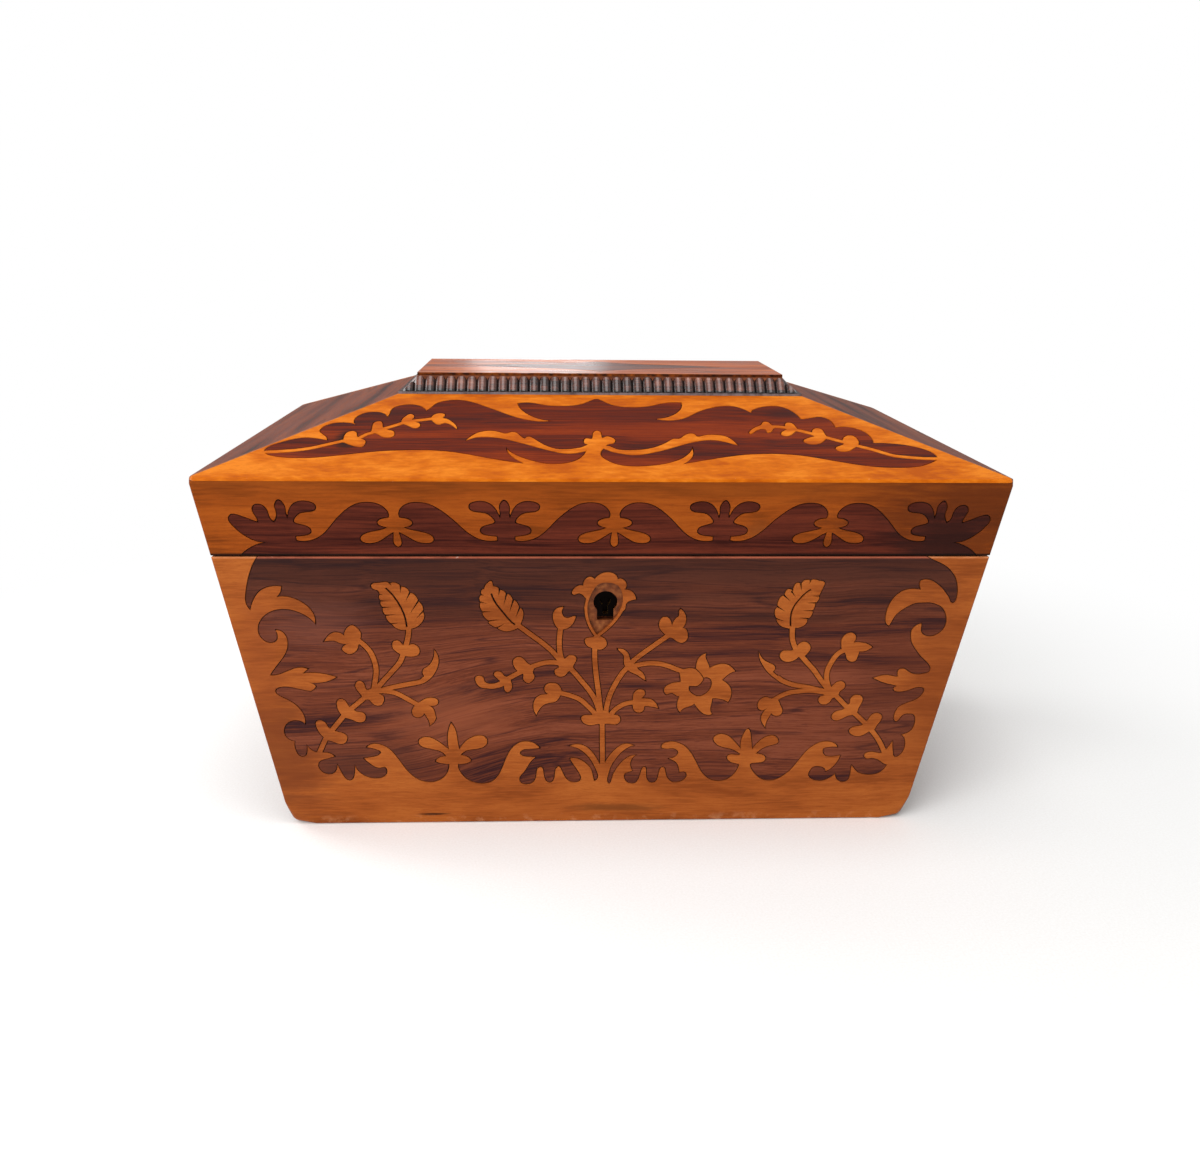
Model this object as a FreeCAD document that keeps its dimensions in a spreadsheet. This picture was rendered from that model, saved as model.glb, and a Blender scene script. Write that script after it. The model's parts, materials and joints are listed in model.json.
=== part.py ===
import FreeCAD, Part
import itertools
import math
import os
import re

# A sarcophagus-shaped box: a tapered body, a hinged lid with a banded edge, hipped slopes and a reeded
# moulding round a small plateau. Veneered in rosewood and satinwood, and fitted inside for tea.
# The origin is the middle of the base, +Z is up and the front faces -Y.

Vector = FreeCAD.Vector
UPRIGHT = FreeCAD.Rotation(Vector(0, 1, 0), Vector(0, 0, 1))
ALONG_X = FreeCAD.Rotation(Vector(0, 0, 1), Vector(1, 0, 0))
UPSIDE_DOWN = FreeCAD.Rotation(Vector(0, 0, 1), Vector(0, 0, -1))

# Driving sizes in millimetres
SIZES = {
    # Outside of the box
    "base_width": 274,
    "base_depth": 154,
    "seam_height": 128,
    "seam_gap": 0.5,
    "lid_edge_width": 320,
    "lid_edge_depth": 200,
    "band_height": 32,
    "moulding_foot_width": 175,
    "moulding_foot_depth": 75,
    "slope_rise": 24.1,
    "fillet_thickness": 1,
    "moulding_span": 7.4,
    "moulding_inset": 1.6,
    "reed_width": 4.5,
    "reed_rise": 1.4,
    "reed_drop": 1.5,
    "reed_blunt": 0.4,
    # Boards and veneers
    "wall_thickness": 12,
    "base_thickness": 8,
    "slope_thickness": 8,
    "veneer_thickness": 1.2,
    "saw_kerf": 0.35,
    "lining_rise": 21,
    "lining_thickness": 2.5,
    # Marquetry lines
    "stem_width": 2.1,
    "leaf_cut_width": 0.75,
    "bell_edge_width": 1.1,
    "slope_stem_width": 1.8,
    # Tea wells and bowl
    "partition_thickness": 5,
    "partition_drop": 12,
    "well_lid_thickness": 6,
    "ledge_width": 5,
    "ledge_depth": 8,
    "lift_clearance": 0.5,
    "rest_clearance": 0.1,
    "knob_foot_radius": 5,
    "knob_foot_thickness": 1.5,
    "knob_neck_radius": 2.4,
    "knob_neck_height": 3.5,
    "knob_ball_radius": 4.2,
    "bowl_board_drop": 28,
    "bowl_board_thickness": 6,
    "bowl_board_edge": 6,
    "bowl_rim_overlap": 4,
    "bowl_rim_thickness": 3,
    "bowl_mouth_radius": 39,
    "bowl_foot_radius": 26,
    "bowl_depth": 56,
    "bowl_wall": 3,
    # Hinges
    "hinge_place": 95,
    "hinge_length": 40,
    "hinge_leaf_width": 9,
    "hinge_leaf_thickness": 1.2,
    "knuckle_radius": 2,
    "knuckle_gap": 0.15,
    "knuckle_standoff": 0.6,
    "pin_radius": 1,
    "pin_clearance": 0.05,
    "screw_spacing": 14,
    "screw_head_radius": 1.9,
    "screw_head_depth": 1,
    "screw_shank_radius": 0.9,
    "screw_length": 8,
    "screw_clearance": 0.05,
    # Lock
    "lock_width": 46,
    "lock_depth": 27,
    "lock_thickness": 6.5,
    "lock_wall": 1,
    "lock_skin": 0.9,
    "selvage_length": 60,
    "selvage_thickness": 1.5,
    "bolt_room": 14,
    "bolt_height": 4,
    "bolt_clearance": 0.05,
    "post_width": 3,
    "finger_length": 7,
    "finger_height": 2.6,
    "finger_thickness": 1.6,
    "finger_gap": 0.6,
    "loop_place": 10,
    "loop_thickness": 1.8,
    "loop_width": 3.4,
    "loop_drop": 11,
    "loop_sill": 1.5,
    "window_height": 4,
    "window_width": 2.2,
    "slot_clearance": 0.6,
    "keyhole_place": 0.2,
    "keyhole_below_seam": 20.3,
    "keyhole_radius": 4.9,
    "keyhole_drop": 8.2,
    "keyhole_slot_width": 6.8,
    "key_way_drop": 5.6,
    "key_bore_radius": 2.2,
    # Length by which a cut passes the face it starts from
    "overrun": 2,
}

# Heights above the ground that follow from them
HEIGHTS = {
    "lid_edge_height": "seam_height + seam_gap + band_height",
    "moulding_foot_height": "lid_edge_height + slope_rise",
    "lining_height": "seam_height + seam_gap + lining_rise",
    "partition_height": "seam_height - partition_drop",
    "bowl_board_height": "seam_height - bowl_board_drop",
    "keyhole_height": "seam_height - keyhole_below_seam",
}

doc = FreeCAD.newDocument("SarcophagusBox")
sheet = doc.addObject("Spreadsheet::Sheet", "Sizes")
cells = {alias: str(number) for alias, number in SIZES.items()}
cells.update({alias: f"={text}" for alias, text in HEIGHTS.items()})
for row, (alias, content) in enumerate(cells.items(), start=1):
    sheet.set(f"A{row}", alias)
    sheet.set(f"B{row}", content)
    sheet.setAlias(f"B{row}", alias)
doc.recompute()

WORD = re.compile(r"[a-z_]+")
pieces = {}


def size(name):
    return float(sheet.get(name))


def formula(text):
    return WORD.sub(lambda word: f"Sizes.{word.group()}" if word.group() in cells else word.group(), text)


def add(kind, label):
    item = doc.addObject(kind, label)
    item.Label = label
    return item


def bind(item, **formulas):
    for name, text in formulas.items():
        item.setExpression(name, formula(text))


def locate(item, x="0", y="0", z="0"):
    for axis, text in zip("xyz", (x, y, z)):
        item.setExpression(f"Placement.Base.{axis}", formula(text))


def piece(item):
    pieces[item.Label] = item
    return item


# Plain solids


def block(label, x, y, z):
    item = add("Part::Box", label)
    bind(item, Length=f"({x[1]}) - ({x[0]})", Width=f"({y[1]}) - ({y[0]})", Height=f"({z[1]}) - ({z[0]})")
    locate(item, x[0], y[0], z[0])
    return item


def rod(label, radius, length, x="0", y="0", z="0", turn=FreeCAD.Rotation()):
    item = add("Part::Cylinder", label)
    item.Placement.Rotation = turn
    bind(item, Radius=radius, Height=length)
    locate(item, x, y, z)
    return item


def cone(label, low_radius, high_radius, length, x="0", y="0", z="0", turn=FreeCAD.Rotation()):
    item = add("Part::Cone", label)
    item.Placement.Rotation = turn
    bind(item, Radius1=low_radius, Radius2=high_radius, Height=length)
    locate(item, x, y, z)
    return item


def fuse(label, items):
    item = add("Part::MultiFuse", label)
    item.Shapes = items
    return item


def group(label, items):
    item = add("Part::Compound", label)
    item.Links = items
    return item


def cut(label, base, tools):
    item = add("Part::Cut", label)
    item.Base = base
    item.Tool = tools[0] if len(tools) == 1 else group(f"{label}_tools", tools)
    return item


def common(label, base, tool):
    item = add("Part::Common", label)
    item.Base = base
    item.Tool = tool
    return item


# Leaning and sloping boards: the four outer planes of the body and the lid's band lean outwards with height

SIDES = {
    "front": (0, "depth", "width"),
    "right": (90, "width", "depth"),
    "back": (180, "depth", "width"),
    "left": (270, "width", "depth"),
}


def half(span, height):
    lean = f"(lid_edge_{span} - base_{span}) / 2 / lid_edge_height"
    return f"(base_{span} / 2 + {lean} * ({height}))"


def inner_half(span, height):
    return f"({half(span, height)} - veneer_thickness - wall_thickness)"


def frustum(label, low, high, spans, turn=0):
    item = add("Part::Wedge", label)
    item.Placement.Rotation = FreeCAD.Rotation(Vector(0, 0, 1), turn) * UPRIGHT
    bind(item, Ymin=low, Ymax=high)
    for mark, height in (("", low), ("2", high)):
        left, right, inner, outer = spans(height)
        ends = {f"X{mark}min": left, f"X{mark}max": right, f"Z{mark}min": inner, f"Z{mark}max": outer}
        bind(item, **ends)
    return item


def wall(label, side, low, high, inset, thickness, end_inset):
    turn, across, along = SIDES[side]

    def spans(height):
        outer = f"({half(across, height)} - ({inset}))"
        end = f"({half(along, height)} - ({end_inset}))"
        return f"-{end}", end, f"{outer} - ({thickness})", outer

    return frustum(label, low, high, spans, turn)


def slope(label, side, drop, thickness):
    turn, across, along = SIDES[side]
    item = add("Part::Wedge", label)
    item.Placement.Rotation = FreeCAD.Rotation(Vector(0, 0, 1), turn)
    bind(item, Ymin=f"-lid_edge_{across} / 2", Ymax=f"-moulding_foot_{across} / 2")
    for mark, stage in (("", "lid_edge"), ("2", "moulding_foot")):
        end = f"{stage}_{along} / 2"
        top = f"{stage}_height - ({drop})"
        ends = {f"X{mark}min": f"-{end}", f"X{mark}max": end}
        ends.update({f"Z{mark}min": f"{top} - ({thickness})", f"Z{mark}max": top})
        bind(item, **ends)
    return item


SKIN = "veneer_thickness"
WALL_INSET = "veneer_thickness + wall_thickness"
LID_LOW = "seam_height + seam_gap"
BAND_HIGH = "lid_edge_height - veneer_thickness"
SLOPE_DROP = "veneer_thickness + slope_thickness"
HINGE_AXIS_Y = f"{half('depth', 'seam_height')} + knuckle_standoff + knuckle_radius"
HINGE_AXIS_Z = "seam_height + seam_gap / 2"


# Screws: a countersunk head and a shank, with a clearance hole of the same form


def screw_form(label, x, y, z, turn, spare):
    head = cone(
        f"{label}_head",
        f"screw_shank_radius + {spare}",
        f"screw_head_radius + {spare}",
        "screw_head_depth",
        x,
        y,
        f"({z}) {'+' if turn else '-'} screw_head_depth",
        UPSIDE_DOWN if turn else FreeCAD.Rotation(),
    )
    shank_end = f"({z}) + screw_length" if turn else f"({z}) - screw_length"
    shank = rod(
        f"{label}_shank",
        f"screw_shank_radius + {spare}",
        "screw_length",
        x,
        y,
        shank_end,
        UPSIDE_DOWN if turn else FreeCAD.Rotation(),
    )
    return fuse(label, [head, shank])


def screws(label, places, z, turn):
    solids = []
    holes = []
    for number, (x, y) in enumerate(places, start=1):
        solids.append(screw_form(f"{label}_{number}", x, y, z, turn, "0"))
        holes.append(screw_form(f"{label}_hole_{number}", x, y, z, turn, "screw_clearance"))
    return solids, holes


# Places that the lock and the hinges share with the boards that carry them

LOCK_LOW = "seam_height - lock_depth"
LOCK_FRONT = f"-({half('depth', LOCK_LOW)} - veneer_thickness - lock_skin)"
LOCK_BACK = f"{LOCK_FRONT} + lock_thickness"
LOCK_MIDDLE = f"{LOCK_FRONT} + lock_thickness / 2"
LOCK_X = ("-lock_width / 2", "lock_width / 2")
SELVAGE_X = ("-selvage_length / 2", "selvage_length / 2")
SELVAGE_LOW = "seam_height - selvage_thickness"
LEAF_EDGE = half("depth", "seam_height")
LEAF_Y = (f"{LEAF_EDGE} - hinge_leaf_width", LEAF_EDGE)
LEAF_MIDDLE = f"{LEAF_EDGE} - hinge_leaf_width / 2"
HINGES = {"left": "-hinge_place", "right": "hinge_place"}
SCREW_STEPS = ("-screw_spacing", "0", "screw_spacing")
HINGE_SCREW_PLACES = [
    (f"{middle} + {step}", LEAF_MIDDLE) for middle in HINGES.values() for step in SCREW_STEPS
]
SELVAGE_SCREW_X = "(lock_width + selvage_length) / 4"
LOCK_SCREW_PLACES = [(f"-{SELVAGE_SCREW_X}", LOCK_MIDDLE), (SELVAGE_SCREW_X, LOCK_MIDDLE)]

case_screws, case_screw_holes = screws(
    "case_screw", HINGE_SCREW_PLACES + LOCK_SCREW_PLACES, "seam_height", False
)
lid_screws, lid_screw_holes = screws("lid_screw", HINGE_SCREW_PLACES + LOCK_SCREW_PLACES, LID_LOW, True)
hinge_holes = len(HINGE_SCREW_PLACES)
piece(group("case_screws", case_screws))
piece(group("lid_screws", lid_screws))


def leaf_gains(label, low, high):
    gains = []
    for side, middle in HINGES.items():
        ends = (f"{middle} - hinge_length / 2", f"{middle} + hinge_length / 2")
        gains.append(block(f"{label}_{side}", ends, (LEAF_Y[0], f"{LEAF_EDGE} + overrun"), (low, high)))
    return gains


# Carcass of the body

CASE_LEAF_Z = ("seam_height - hinge_leaf_thickness", "seam_height")
case_gains = leaf_gains("case_gain", CASE_LEAF_Z[0], "seam_height + overrun")


def keyhole_form(label, radius, slot_width, drop, back):
    front = "-lid_edge_depth / 2"
    hole = rod(
        f"{label}_round",
        radius,
        f"({back}) - ({front})",
        "keyhole_place",
        back,
        "keyhole_height",
        UPRIGHT,
    )
    slot_x = (f"keyhole_place - ({slot_width}) / 2", f"keyhole_place + ({slot_width}) / 2")
    slot = block(f"{label}_slot", slot_x, (front, back), (f"keyhole_height - ({drop})", "keyhole_height"))
    return fuse(label, [hole, slot])


keyhole = keyhole_form("keyhole", "keyhole_radius", "keyhole_slot_width", "keyhole_drop", LOCK_MIDDLE)
lock_mortise = block(
    "lock_mortise", LOCK_X, (LOCK_FRONT, "-base_depth / 4"), (LOCK_LOW, "seam_height + overrun")
)
selvage_gain = block(
    "selvage_gain", SELVAGE_X, (LOCK_FRONT, LOCK_BACK), (SELVAGE_LOW, "seam_height + overrun")
)
front_blank = wall("front_blank", "front", "0", "seam_height", SKIN, "wall_thickness", SKIN)
piece(cut("front_board", front_blank, [
    fuse("front_board_cuts", [lock_mortise, selvage_gain, keyhole] + case_screw_holes[hinge_holes:])
]))
back_blank = wall("back_blank", "back", "0", "seam_height", SKIN, "wall_thickness", SKIN)
piece(cut("back_board", back_blank, [fuse("back_board_cuts", case_gains + case_screw_holes[:hinge_holes])]))
for side in ("left", "right"):
    piece(wall(f"{side}_board", side, "0", "seam_height", SKIN, "wall_thickness", WALL_INSET))
    piece(wall(f"{side}_veneer", side, "0", "seam_height", "0", SKIN, SKIN))
back_skin = wall("back_skin", "back", "0", "seam_height", "0", SKIN, "0")
piece(cut("back_veneer", back_skin, case_gains))


def floor_spans(height):
    side = inner_half("width", height)
    end = inner_half("depth", height)
    return f"-{side}", side, f"-{end}", end


piece(frustum("base_board", "0", "base_thickness", floor_spans))

# Tea wells: two partitions, ledges, lids with knobs, and a bored board that holds the bowl

WELL_LID_LOW = "partition_height - well_lid_thickness"
LEDGE_TOP = f"{WELL_LID_LOW} - rest_clearance"
BOWL_BORE_RADIUS = "bowl_mouth_radius + lift_clearance"
PARTITION_INNER = f"{BOWL_BORE_RADIUS} + bowl_board_edge"
PARTITION_OUTER = f"{PARTITION_INNER} + partition_thickness"
WELL_OUTER = f"{inner_half('width', WELL_LID_LOW)} - lift_clearance"
WELL_INNER = f"{PARTITION_OUTER} + lift_clearance"
WELL_END = f"({inner_half('depth', WELL_LID_LOW)} - lift_clearance)"
BOWL_BOARD_TOP = "bowl_board_height + bowl_board_thickness"
BOWL_RIM_LOW = f"{BOWL_BOARD_TOP} + rest_clearance"


def mirrored(low, high, sign):
    return (low, high) if sign > 0 else (f"-({high})", f"-({low})")


ledges = []
for side, sign in (("left", -1), ("right", 1)):

    def partition_spans(height):
        end = inner_half("depth", height)
        return *mirrored(PARTITION_INNER, PARTITION_OUTER, sign), f"-{end}", end

    def ledge_spans(height):
        end = inner_half("depth", height)
        return *mirrored(PARTITION_OUTER, inner_half("width", height), sign), f"{end} - ledge_width", end

    piece(frustum(f"{side}_partition", "base_thickness", "partition_height", partition_spans))
    for turn in (0, 180):
        label = f"{side}_ledge_{turn}"
        ledges.append(frustum(label, f"{LEDGE_TOP} - ledge_depth", LEDGE_TOP, ledge_spans, turn))
    well_x = mirrored(WELL_INNER, WELL_OUTER, sign)
    piece(block(f"{side}_well_lid", well_x, (f"-{WELL_END}", WELL_END), (WELL_LID_LOW, "partition_height")))
    knob_x = f"({well_x[0]} + {well_x[1]}) / 2"
    neck_low = "partition_height + knob_foot_thickness"
    ball_height = f"{neck_low} + knob_neck_height + knob_ball_radius / 2"
    ball = add("Part::Sphere", f"{side}_knob_ball")
    bind(ball, Radius="knob_ball_radius")
    locate(ball, knob_x, "0", ball_height)
    piece(fuse(f"{side}_well_knob", [
        rod(f"{side}_knob_foot", "knob_foot_radius", "knob_foot_thickness", knob_x, "0", "partition_height"),
        cone(
            f"{side}_knob_neck",
            "knob_foot_radius - knob_foot_thickness / 2",
            "knob_neck_radius",
            "knob_neck_height",
            knob_x,
            "0",
            neck_low,
        ),
        ball,
    ]))
piece(group("well_ledges", ledges))


def bowl_board_spans(height):
    end = inner_half("depth", height)
    return f"-({PARTITION_INNER})", PARTITION_INNER, f"-{end}", end


bowl_board = frustum("bowl_board_blank", "bowl_board_height", BOWL_BOARD_TOP, bowl_board_spans)
bowl_bore = rod(
    "bowl_bore",
    BOWL_BORE_RADIUS,
    "bowl_board_thickness + 2 * overrun",
    z="bowl_board_height - overrun",
)
piece(cut("bowl_board", bowl_board, [bowl_bore]))

bowl_low = f"{BOWL_RIM_LOW} - bowl_depth"
bowl_form = fuse("bowl_form", [
    cone("bowl_outside", "bowl_foot_radius", "bowl_mouth_radius", "bowl_depth", z=bowl_low),
    rod("bowl_rim", "bowl_mouth_radius + bowl_rim_overlap", "bowl_rim_thickness", z=BOWL_RIM_LOW),
])
bowl_inside = cone(
    "bowl_inside",
    "bowl_foot_radius - bowl_wall",
    "bowl_mouth_radius - bowl_wall",
    "bowl_depth",
    z=f"{bowl_low} + bowl_wall",
)
bowl_mouth = rod(
    "bowl_mouth",
    "bowl_mouth_radius - bowl_wall",
    "bowl_rim_thickness + overrun",
    z=f"{bowl_low} + bowl_wall + bowl_depth",
)
piece(cut("mixing_bowl", bowl_form, [fuse("bowl_hollow", [bowl_inside, bowl_mouth])]))

# Lid: four rails behind the band, four slope boards, the top board, the lining and the veneers


def slope_under_spans(height):
    under_edge = "lid_edge_height - veneer_thickness - slope_thickness"
    rise = "(moulding_foot_height - lid_edge_height)"

    def reach(span):
        run = f"(lid_edge_{span} - moulding_foot_{span}) / 2"
        return f"(lid_edge_{span} / 2 + ({under_edge} - ({height})) * {run} / {rise})"

    return f"-{reach('width')}", reach("width"), f"-{reach('depth')}", reach("depth")


def inside_band_spans(height):
    side = f"({half('width', height)} - veneer_thickness)"
    end = f"({half('depth', height)} - veneer_thickness)"
    return f"-{side}", side, f"-{end}", end


TOP_BOARD_LOW = f"moulding_foot_height - ({SLOPE_DROP})"
under_slopes = frustum("under_slopes", LID_LOW, TOP_BOARD_LOW, slope_under_spans)
inside_band = frustum("inside_band", LID_LOW, "moulding_foot_height", inside_band_spans)
lid_gains = leaf_gains("lid_gain", f"{LID_LOW} - overrun", f"{LID_LOW} + hinge_leaf_thickness")
LINK_TOP = f"{LID_LOW} + selvage_thickness"
link_gain = block("link_gain", SELVAGE_X, (LOCK_FRONT, LOCK_BACK), (f"{LID_LOW} - overrun", LINK_TOP))
rail_cuts = {
    "front": [link_gain] + lid_screw_holes[hinge_holes:],
    "back": lid_gains + lid_screw_holes[:hinge_holes],
}
for side in SIDES:
    end_inset = SKIN if side in rail_cuts else WALL_INSET
    rail = wall(f"{side}_rail_blank", side, LID_LOW, "lid_edge_height", SKIN, "wall_thickness", end_inset)
    if side in rail_cuts:
        rail = common(f"{side}_rail_form", rail, under_slopes)
        piece(cut(f"lid_{side}_rail", rail, [fuse(f"{side}_rail_cuts", rail_cuts[side])]))
    else:
        piece(common(f"lid_{side}_rail", rail, under_slopes))
    slope_blank = slope(f"{side}_slope_blank", side, SKIN, "slope_thickness")
    piece(common(f"lid_{side}_slope", slope_blank, inside_band))
    if side != "front":
        piece(slope(f"{side}_slope_veneer", side, "0", SKIN))
for side in ("left", "right"):
    piece(wall(f"lid_{side}_veneer", side, LID_LOW, BAND_HIGH, "0", SKIN, SKIN))
lid_back_skin = wall("lid_back_skin", "back", LID_LOW, BAND_HIGH, "0", SKIN, "0")
piece(cut("lid_back_veneer", lid_back_skin, lid_gains))

FOOT_X = ("-moulding_foot_width / 2", "moulding_foot_width / 2")
FOOT_Y = ("-moulding_foot_depth / 2", "moulding_foot_depth / 2")
FILLET_TOP = "moulding_foot_height + fillet_thickness"
CAP_TOP = f"{FILLET_TOP} + moulding_span - veneer_thickness"
CAP_X = (f"{FOOT_X[0]} + moulding_span", f"{FOOT_X[1]} - moulding_span")
CAP_Y = (f"{FOOT_Y[0]} + moulding_span", f"{FOOT_Y[1]} - moulding_span")
piece(block("lid_top_board", FOOT_X, FOOT_Y, (TOP_BOARD_LOW, "moulding_foot_height")))
piece(block("moulding_fillet", FOOT_X, FOOT_Y, ("moulding_foot_height", FILLET_TOP)))
piece(block("cap_board", CAP_X, CAP_Y, (FILLET_TOP, CAP_TOP)))
piece(frustum("lid_lining_panel", "lining_height", "lining_height + lining_thickness", floor_spans))

# Hinges: the case leaf has the outer and middle knuckles, the lid leaf the two between

KNUCKLES = 5
CASE_KNUCKLES = range(0, KNUCKLES, 2)
LID_KNUCKLES = range(1, KNUCKLES, 2)
KNUCKLE_STEP = f"hinge_length / {KNUCKLES}"


def hinge_leaf(label, middle, leaf_z, own, holes):
    left_end = f"{middle} - hinge_length / 2"
    forms = [block(f"{label}_plate", (left_end, f"{left_end} + hinge_length"), LEAF_Y, leaf_z)]
    for number in own:
        low = f"{left_end} + {number} * {KNUCKLE_STEP} + knuckle_gap"
        length = f"{KNUCKLE_STEP} - 2 * knuckle_gap"
        web = (low, f"{low} + {length}")
        forms.append(block(f"{label}_web_{number}", web, (f"{LEAF_EDGE} - overrun", HINGE_AXIS_Y), leaf_z))
        knuckle = f"{label}_knuckle_{number}"
        forms.append(rod(knuckle, "knuckle_radius", length, low, HINGE_AXIS_Y, HINGE_AXIS_Z, ALONG_X))
    bore = rod(
        f"{label}_bore",
        "pin_radius + pin_clearance",
        "hinge_length + 2 * overrun",
        f"{left_end} - overrun",
        HINGE_AXIS_Y,
        HINGE_AXIS_Z,
        ALONG_X,
    )
    return piece(cut(label, fuse(f"{label}_form", forms), [fuse(f"{label}_cuts", [bore] + holes)]))


LID_LEAF_Z = (LID_LOW, f"{LID_LOW} + hinge_leaf_thickness")
pins = []
for number, (side, middle) in enumerate(HINGES.items()):
    own_holes = slice(number * len(SCREW_STEPS), (number + 1) * len(SCREW_STEPS))
    hinge_leaf(f"{side}_hinge_case_leaf", middle, CASE_LEAF_Z, CASE_KNUCKLES, case_screw_holes[own_holes])
    hinge_leaf(f"{side}_hinge_lid_leaf", middle, LID_LEAF_Z, LID_KNUCKLES, lid_screw_holes[own_holes])
    pin_x = f"{middle} - hinge_length / 2"
    pins.append(rod(f"{side}_pin", "pin_radius", "hinge_length", pin_x, HINGE_AXIS_Y, HINGE_AXIS_Z, ALONG_X))
piece(group("hinge_pins", pins))

# Lock: a case with its selvage, a bolt whose two fingers slide into the loops of the lid's link plate

BOLT_FLOOR = f"{SELVAGE_LOW} - bolt_room"
ROOM_Y = (f"{LOCK_FRONT} + lock_wall", f"{LOCK_BACK} - lock_wall")
LOOPS = ("-loop_place", "loop_place")
lock_body = fuse("lock_body", [
    block("lock_box", LOCK_X, (LOCK_FRONT, LOCK_BACK), (LOCK_LOW, SELVAGE_LOW)),
    block("selvage", SELVAGE_X, (LOCK_FRONT, LOCK_BACK), (SELVAGE_LOW, "seam_height")),
])
bolt_space = block(
    "bolt_space",
    ("lock_wall - lock_width / 2", "lock_width / 2 - lock_wall"),
    ROOM_Y,
    (BOLT_FLOOR, SELVAGE_LOW),
)
key_way = keyhole_form("key_way", "key_bore_radius", "key_bore_radius", "key_way_drop", LOCK_MIDDLE)
loop_slots = []
for number, middle in enumerate(LOOPS):
    slot_half = "(loop_thickness / 2 + slot_clearance)"
    slot_x = (f"{middle} - {slot_half}", f"{middle} + {slot_half}")
    loop_slots.append(block(f"loop_slot_{number}", slot_x, ROOM_Y, (BOLT_FLOOR, "seam_height + overrun")))
lock_cuts = fuse("lock_cuts", [bolt_space, key_way] + loop_slots + case_screw_holes[hinge_holes:])
piece(cut("lock_case", lock_body, [lock_cuts]))

WINDOW_LOW = f"{LID_LOW} - loop_drop + loop_sill"
FINGER_LOW = f"{WINDOW_LOW} + (window_height - finger_height) / 2"
FINGER_TOP = f"{FINGER_LOW} + finger_height"
BAR_LOW = f"{BOLT_FLOOR} + bolt_clearance"
BAR_Y = (f"{ROOM_Y[0]} + bolt_clearance", f"{ROOM_Y[1]} - bolt_clearance")
FINGER_Y = (f"{LOCK_MIDDLE} - finger_thickness / 2", f"{LOCK_MIDDLE} + finger_thickness / 2")
bolt_forms = []
posts = []
for number, middle in enumerate(LOOPS):
    tip = f"{middle} - loop_thickness / 2 - finger_gap"
    root = f"{tip} - finger_length"
    posts.append((f"{root} - post_width", root))
    finger_x = (f"{root} - post_width", tip)
    bolt_forms.append(block(f"finger_{number}", finger_x, FINGER_Y, (FINGER_LOW, FINGER_TOP)))
    bolt_forms.append(block(f"post_{number}", posts[-1], FINGER_Y, (BAR_LOW, FINGER_TOP)))
bar_x = (posts[0][0], posts[1][1])
bolt_forms.append(block("bolt_bar", bar_x, BAR_Y, (BAR_LOW, f"{BAR_LOW} + bolt_height")))
piece(fuse("lock_bolt", bolt_forms))

link_forms = [block("link_strap", SELVAGE_X, (LOCK_FRONT, LOCK_BACK), (LID_LOW, LINK_TOP))]
windows = []
for number, middle in enumerate(LOOPS):
    loop_x = (f"{middle} - loop_thickness / 2", f"{middle} + loop_thickness / 2")
    loop_y = (f"{LOCK_MIDDLE} - loop_width / 2", f"{LOCK_MIDDLE} + loop_width / 2")
    window_x = (f"{loop_x[0]} - overrun", f"{loop_x[1]} + overrun")
    window_y = (f"{LOCK_MIDDLE} - window_width / 2", f"{LOCK_MIDDLE} + window_width / 2")
    link_forms.append(block(f"loop_{number}", loop_x, loop_y, (f"{LID_LOW} - loop_drop", LID_LOW)))
    window_z = (WINDOW_LOW, f"{WINDOW_LOW} + window_height")
    windows.append(block(f"window_{number}", window_x, window_y, window_z))
link_cuts = fuse("link_cuts", windows + lid_screw_holes[hinge_holes:])
piece(cut("link_plate", fuse("link_form", link_forms), [link_cuts]))

doc.recompute()

# Reeded moulding: a row of round reeds that lean up from the fillet's ledge to just under the plateau's edge


def moulding(side):
    turn, across, along = SIDES[side]
    span = size("moulding_span")
    run = span - size("moulding_inset")
    height = span - size("reed_drop")
    end = size(f"moulding_foot_{along}") / 2 - size("moulding_inset")
    outer = size(f"moulding_foot_{across}") / 2 - size("moulding_inset")
    low = size("moulding_foot_height") + size("fillet_thickness")
    upward = Vector(0, run, height).normalize()
    outward = Vector(0, -height, run).normalize()
    foot = Vector(0, -outer, low + size("reed_blunt")) - upward * span
    valley = foot - outward * size("reed_rise")
    core = foot - outward * span
    reeds = round(2 * end / size("reed_width"))
    pitch = Vector(2 * end / reeds, 0, 0)
    left = Vector(-end, 0, 0)
    edges = []
    for reed in range(reeds):
        start = valley + left + pitch * reed
        crest = foot + left + pitch * (reed + 1 / 2)
        edges.append(Part.Arc(start, crest, start + pitch).toShape())
    edges.append(Part.makeLine(valley - left, core - left))
    edges.append(Part.makeLine(core - left, core + left))
    edges.append(Part.makeLine(core + left, valley + left))
    reeded = Part.Face(Part.Wire(edges)).extrude(upward * (span * 3))
    corners = [
        Vector(-end, -outer, low),
        Vector(end, -outer, low),
        Vector(end - run, run - outer, low),
        Vector(run - end, run - outer, low),
    ]
    mitre = Part.Face(Part.makePolygon(corners + corners[:1])).extrude(Vector(0, 0, height))
    item = add("Part::Feature", f"{side}_moulding")
    item.Shape = reeded.common(mitre)
    item.Placement = FreeCAD.Placement(Vector(), FreeCAD.Rotation(Vector(0, 0, 1), turn))
    return piece(item)


for side in SIDES:
    moulding(side)

# Marquetry. A panel turns shares, across from its middle line to its edge and up from its lower edge, into
# points. In an outline a third value marks a sharp point; the curve runs smoothly through the others.

BLUNT_SHARE = 0.4
KEEN_SHARE = 0.1
EVENNESS_SHARE = 0.5


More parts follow.
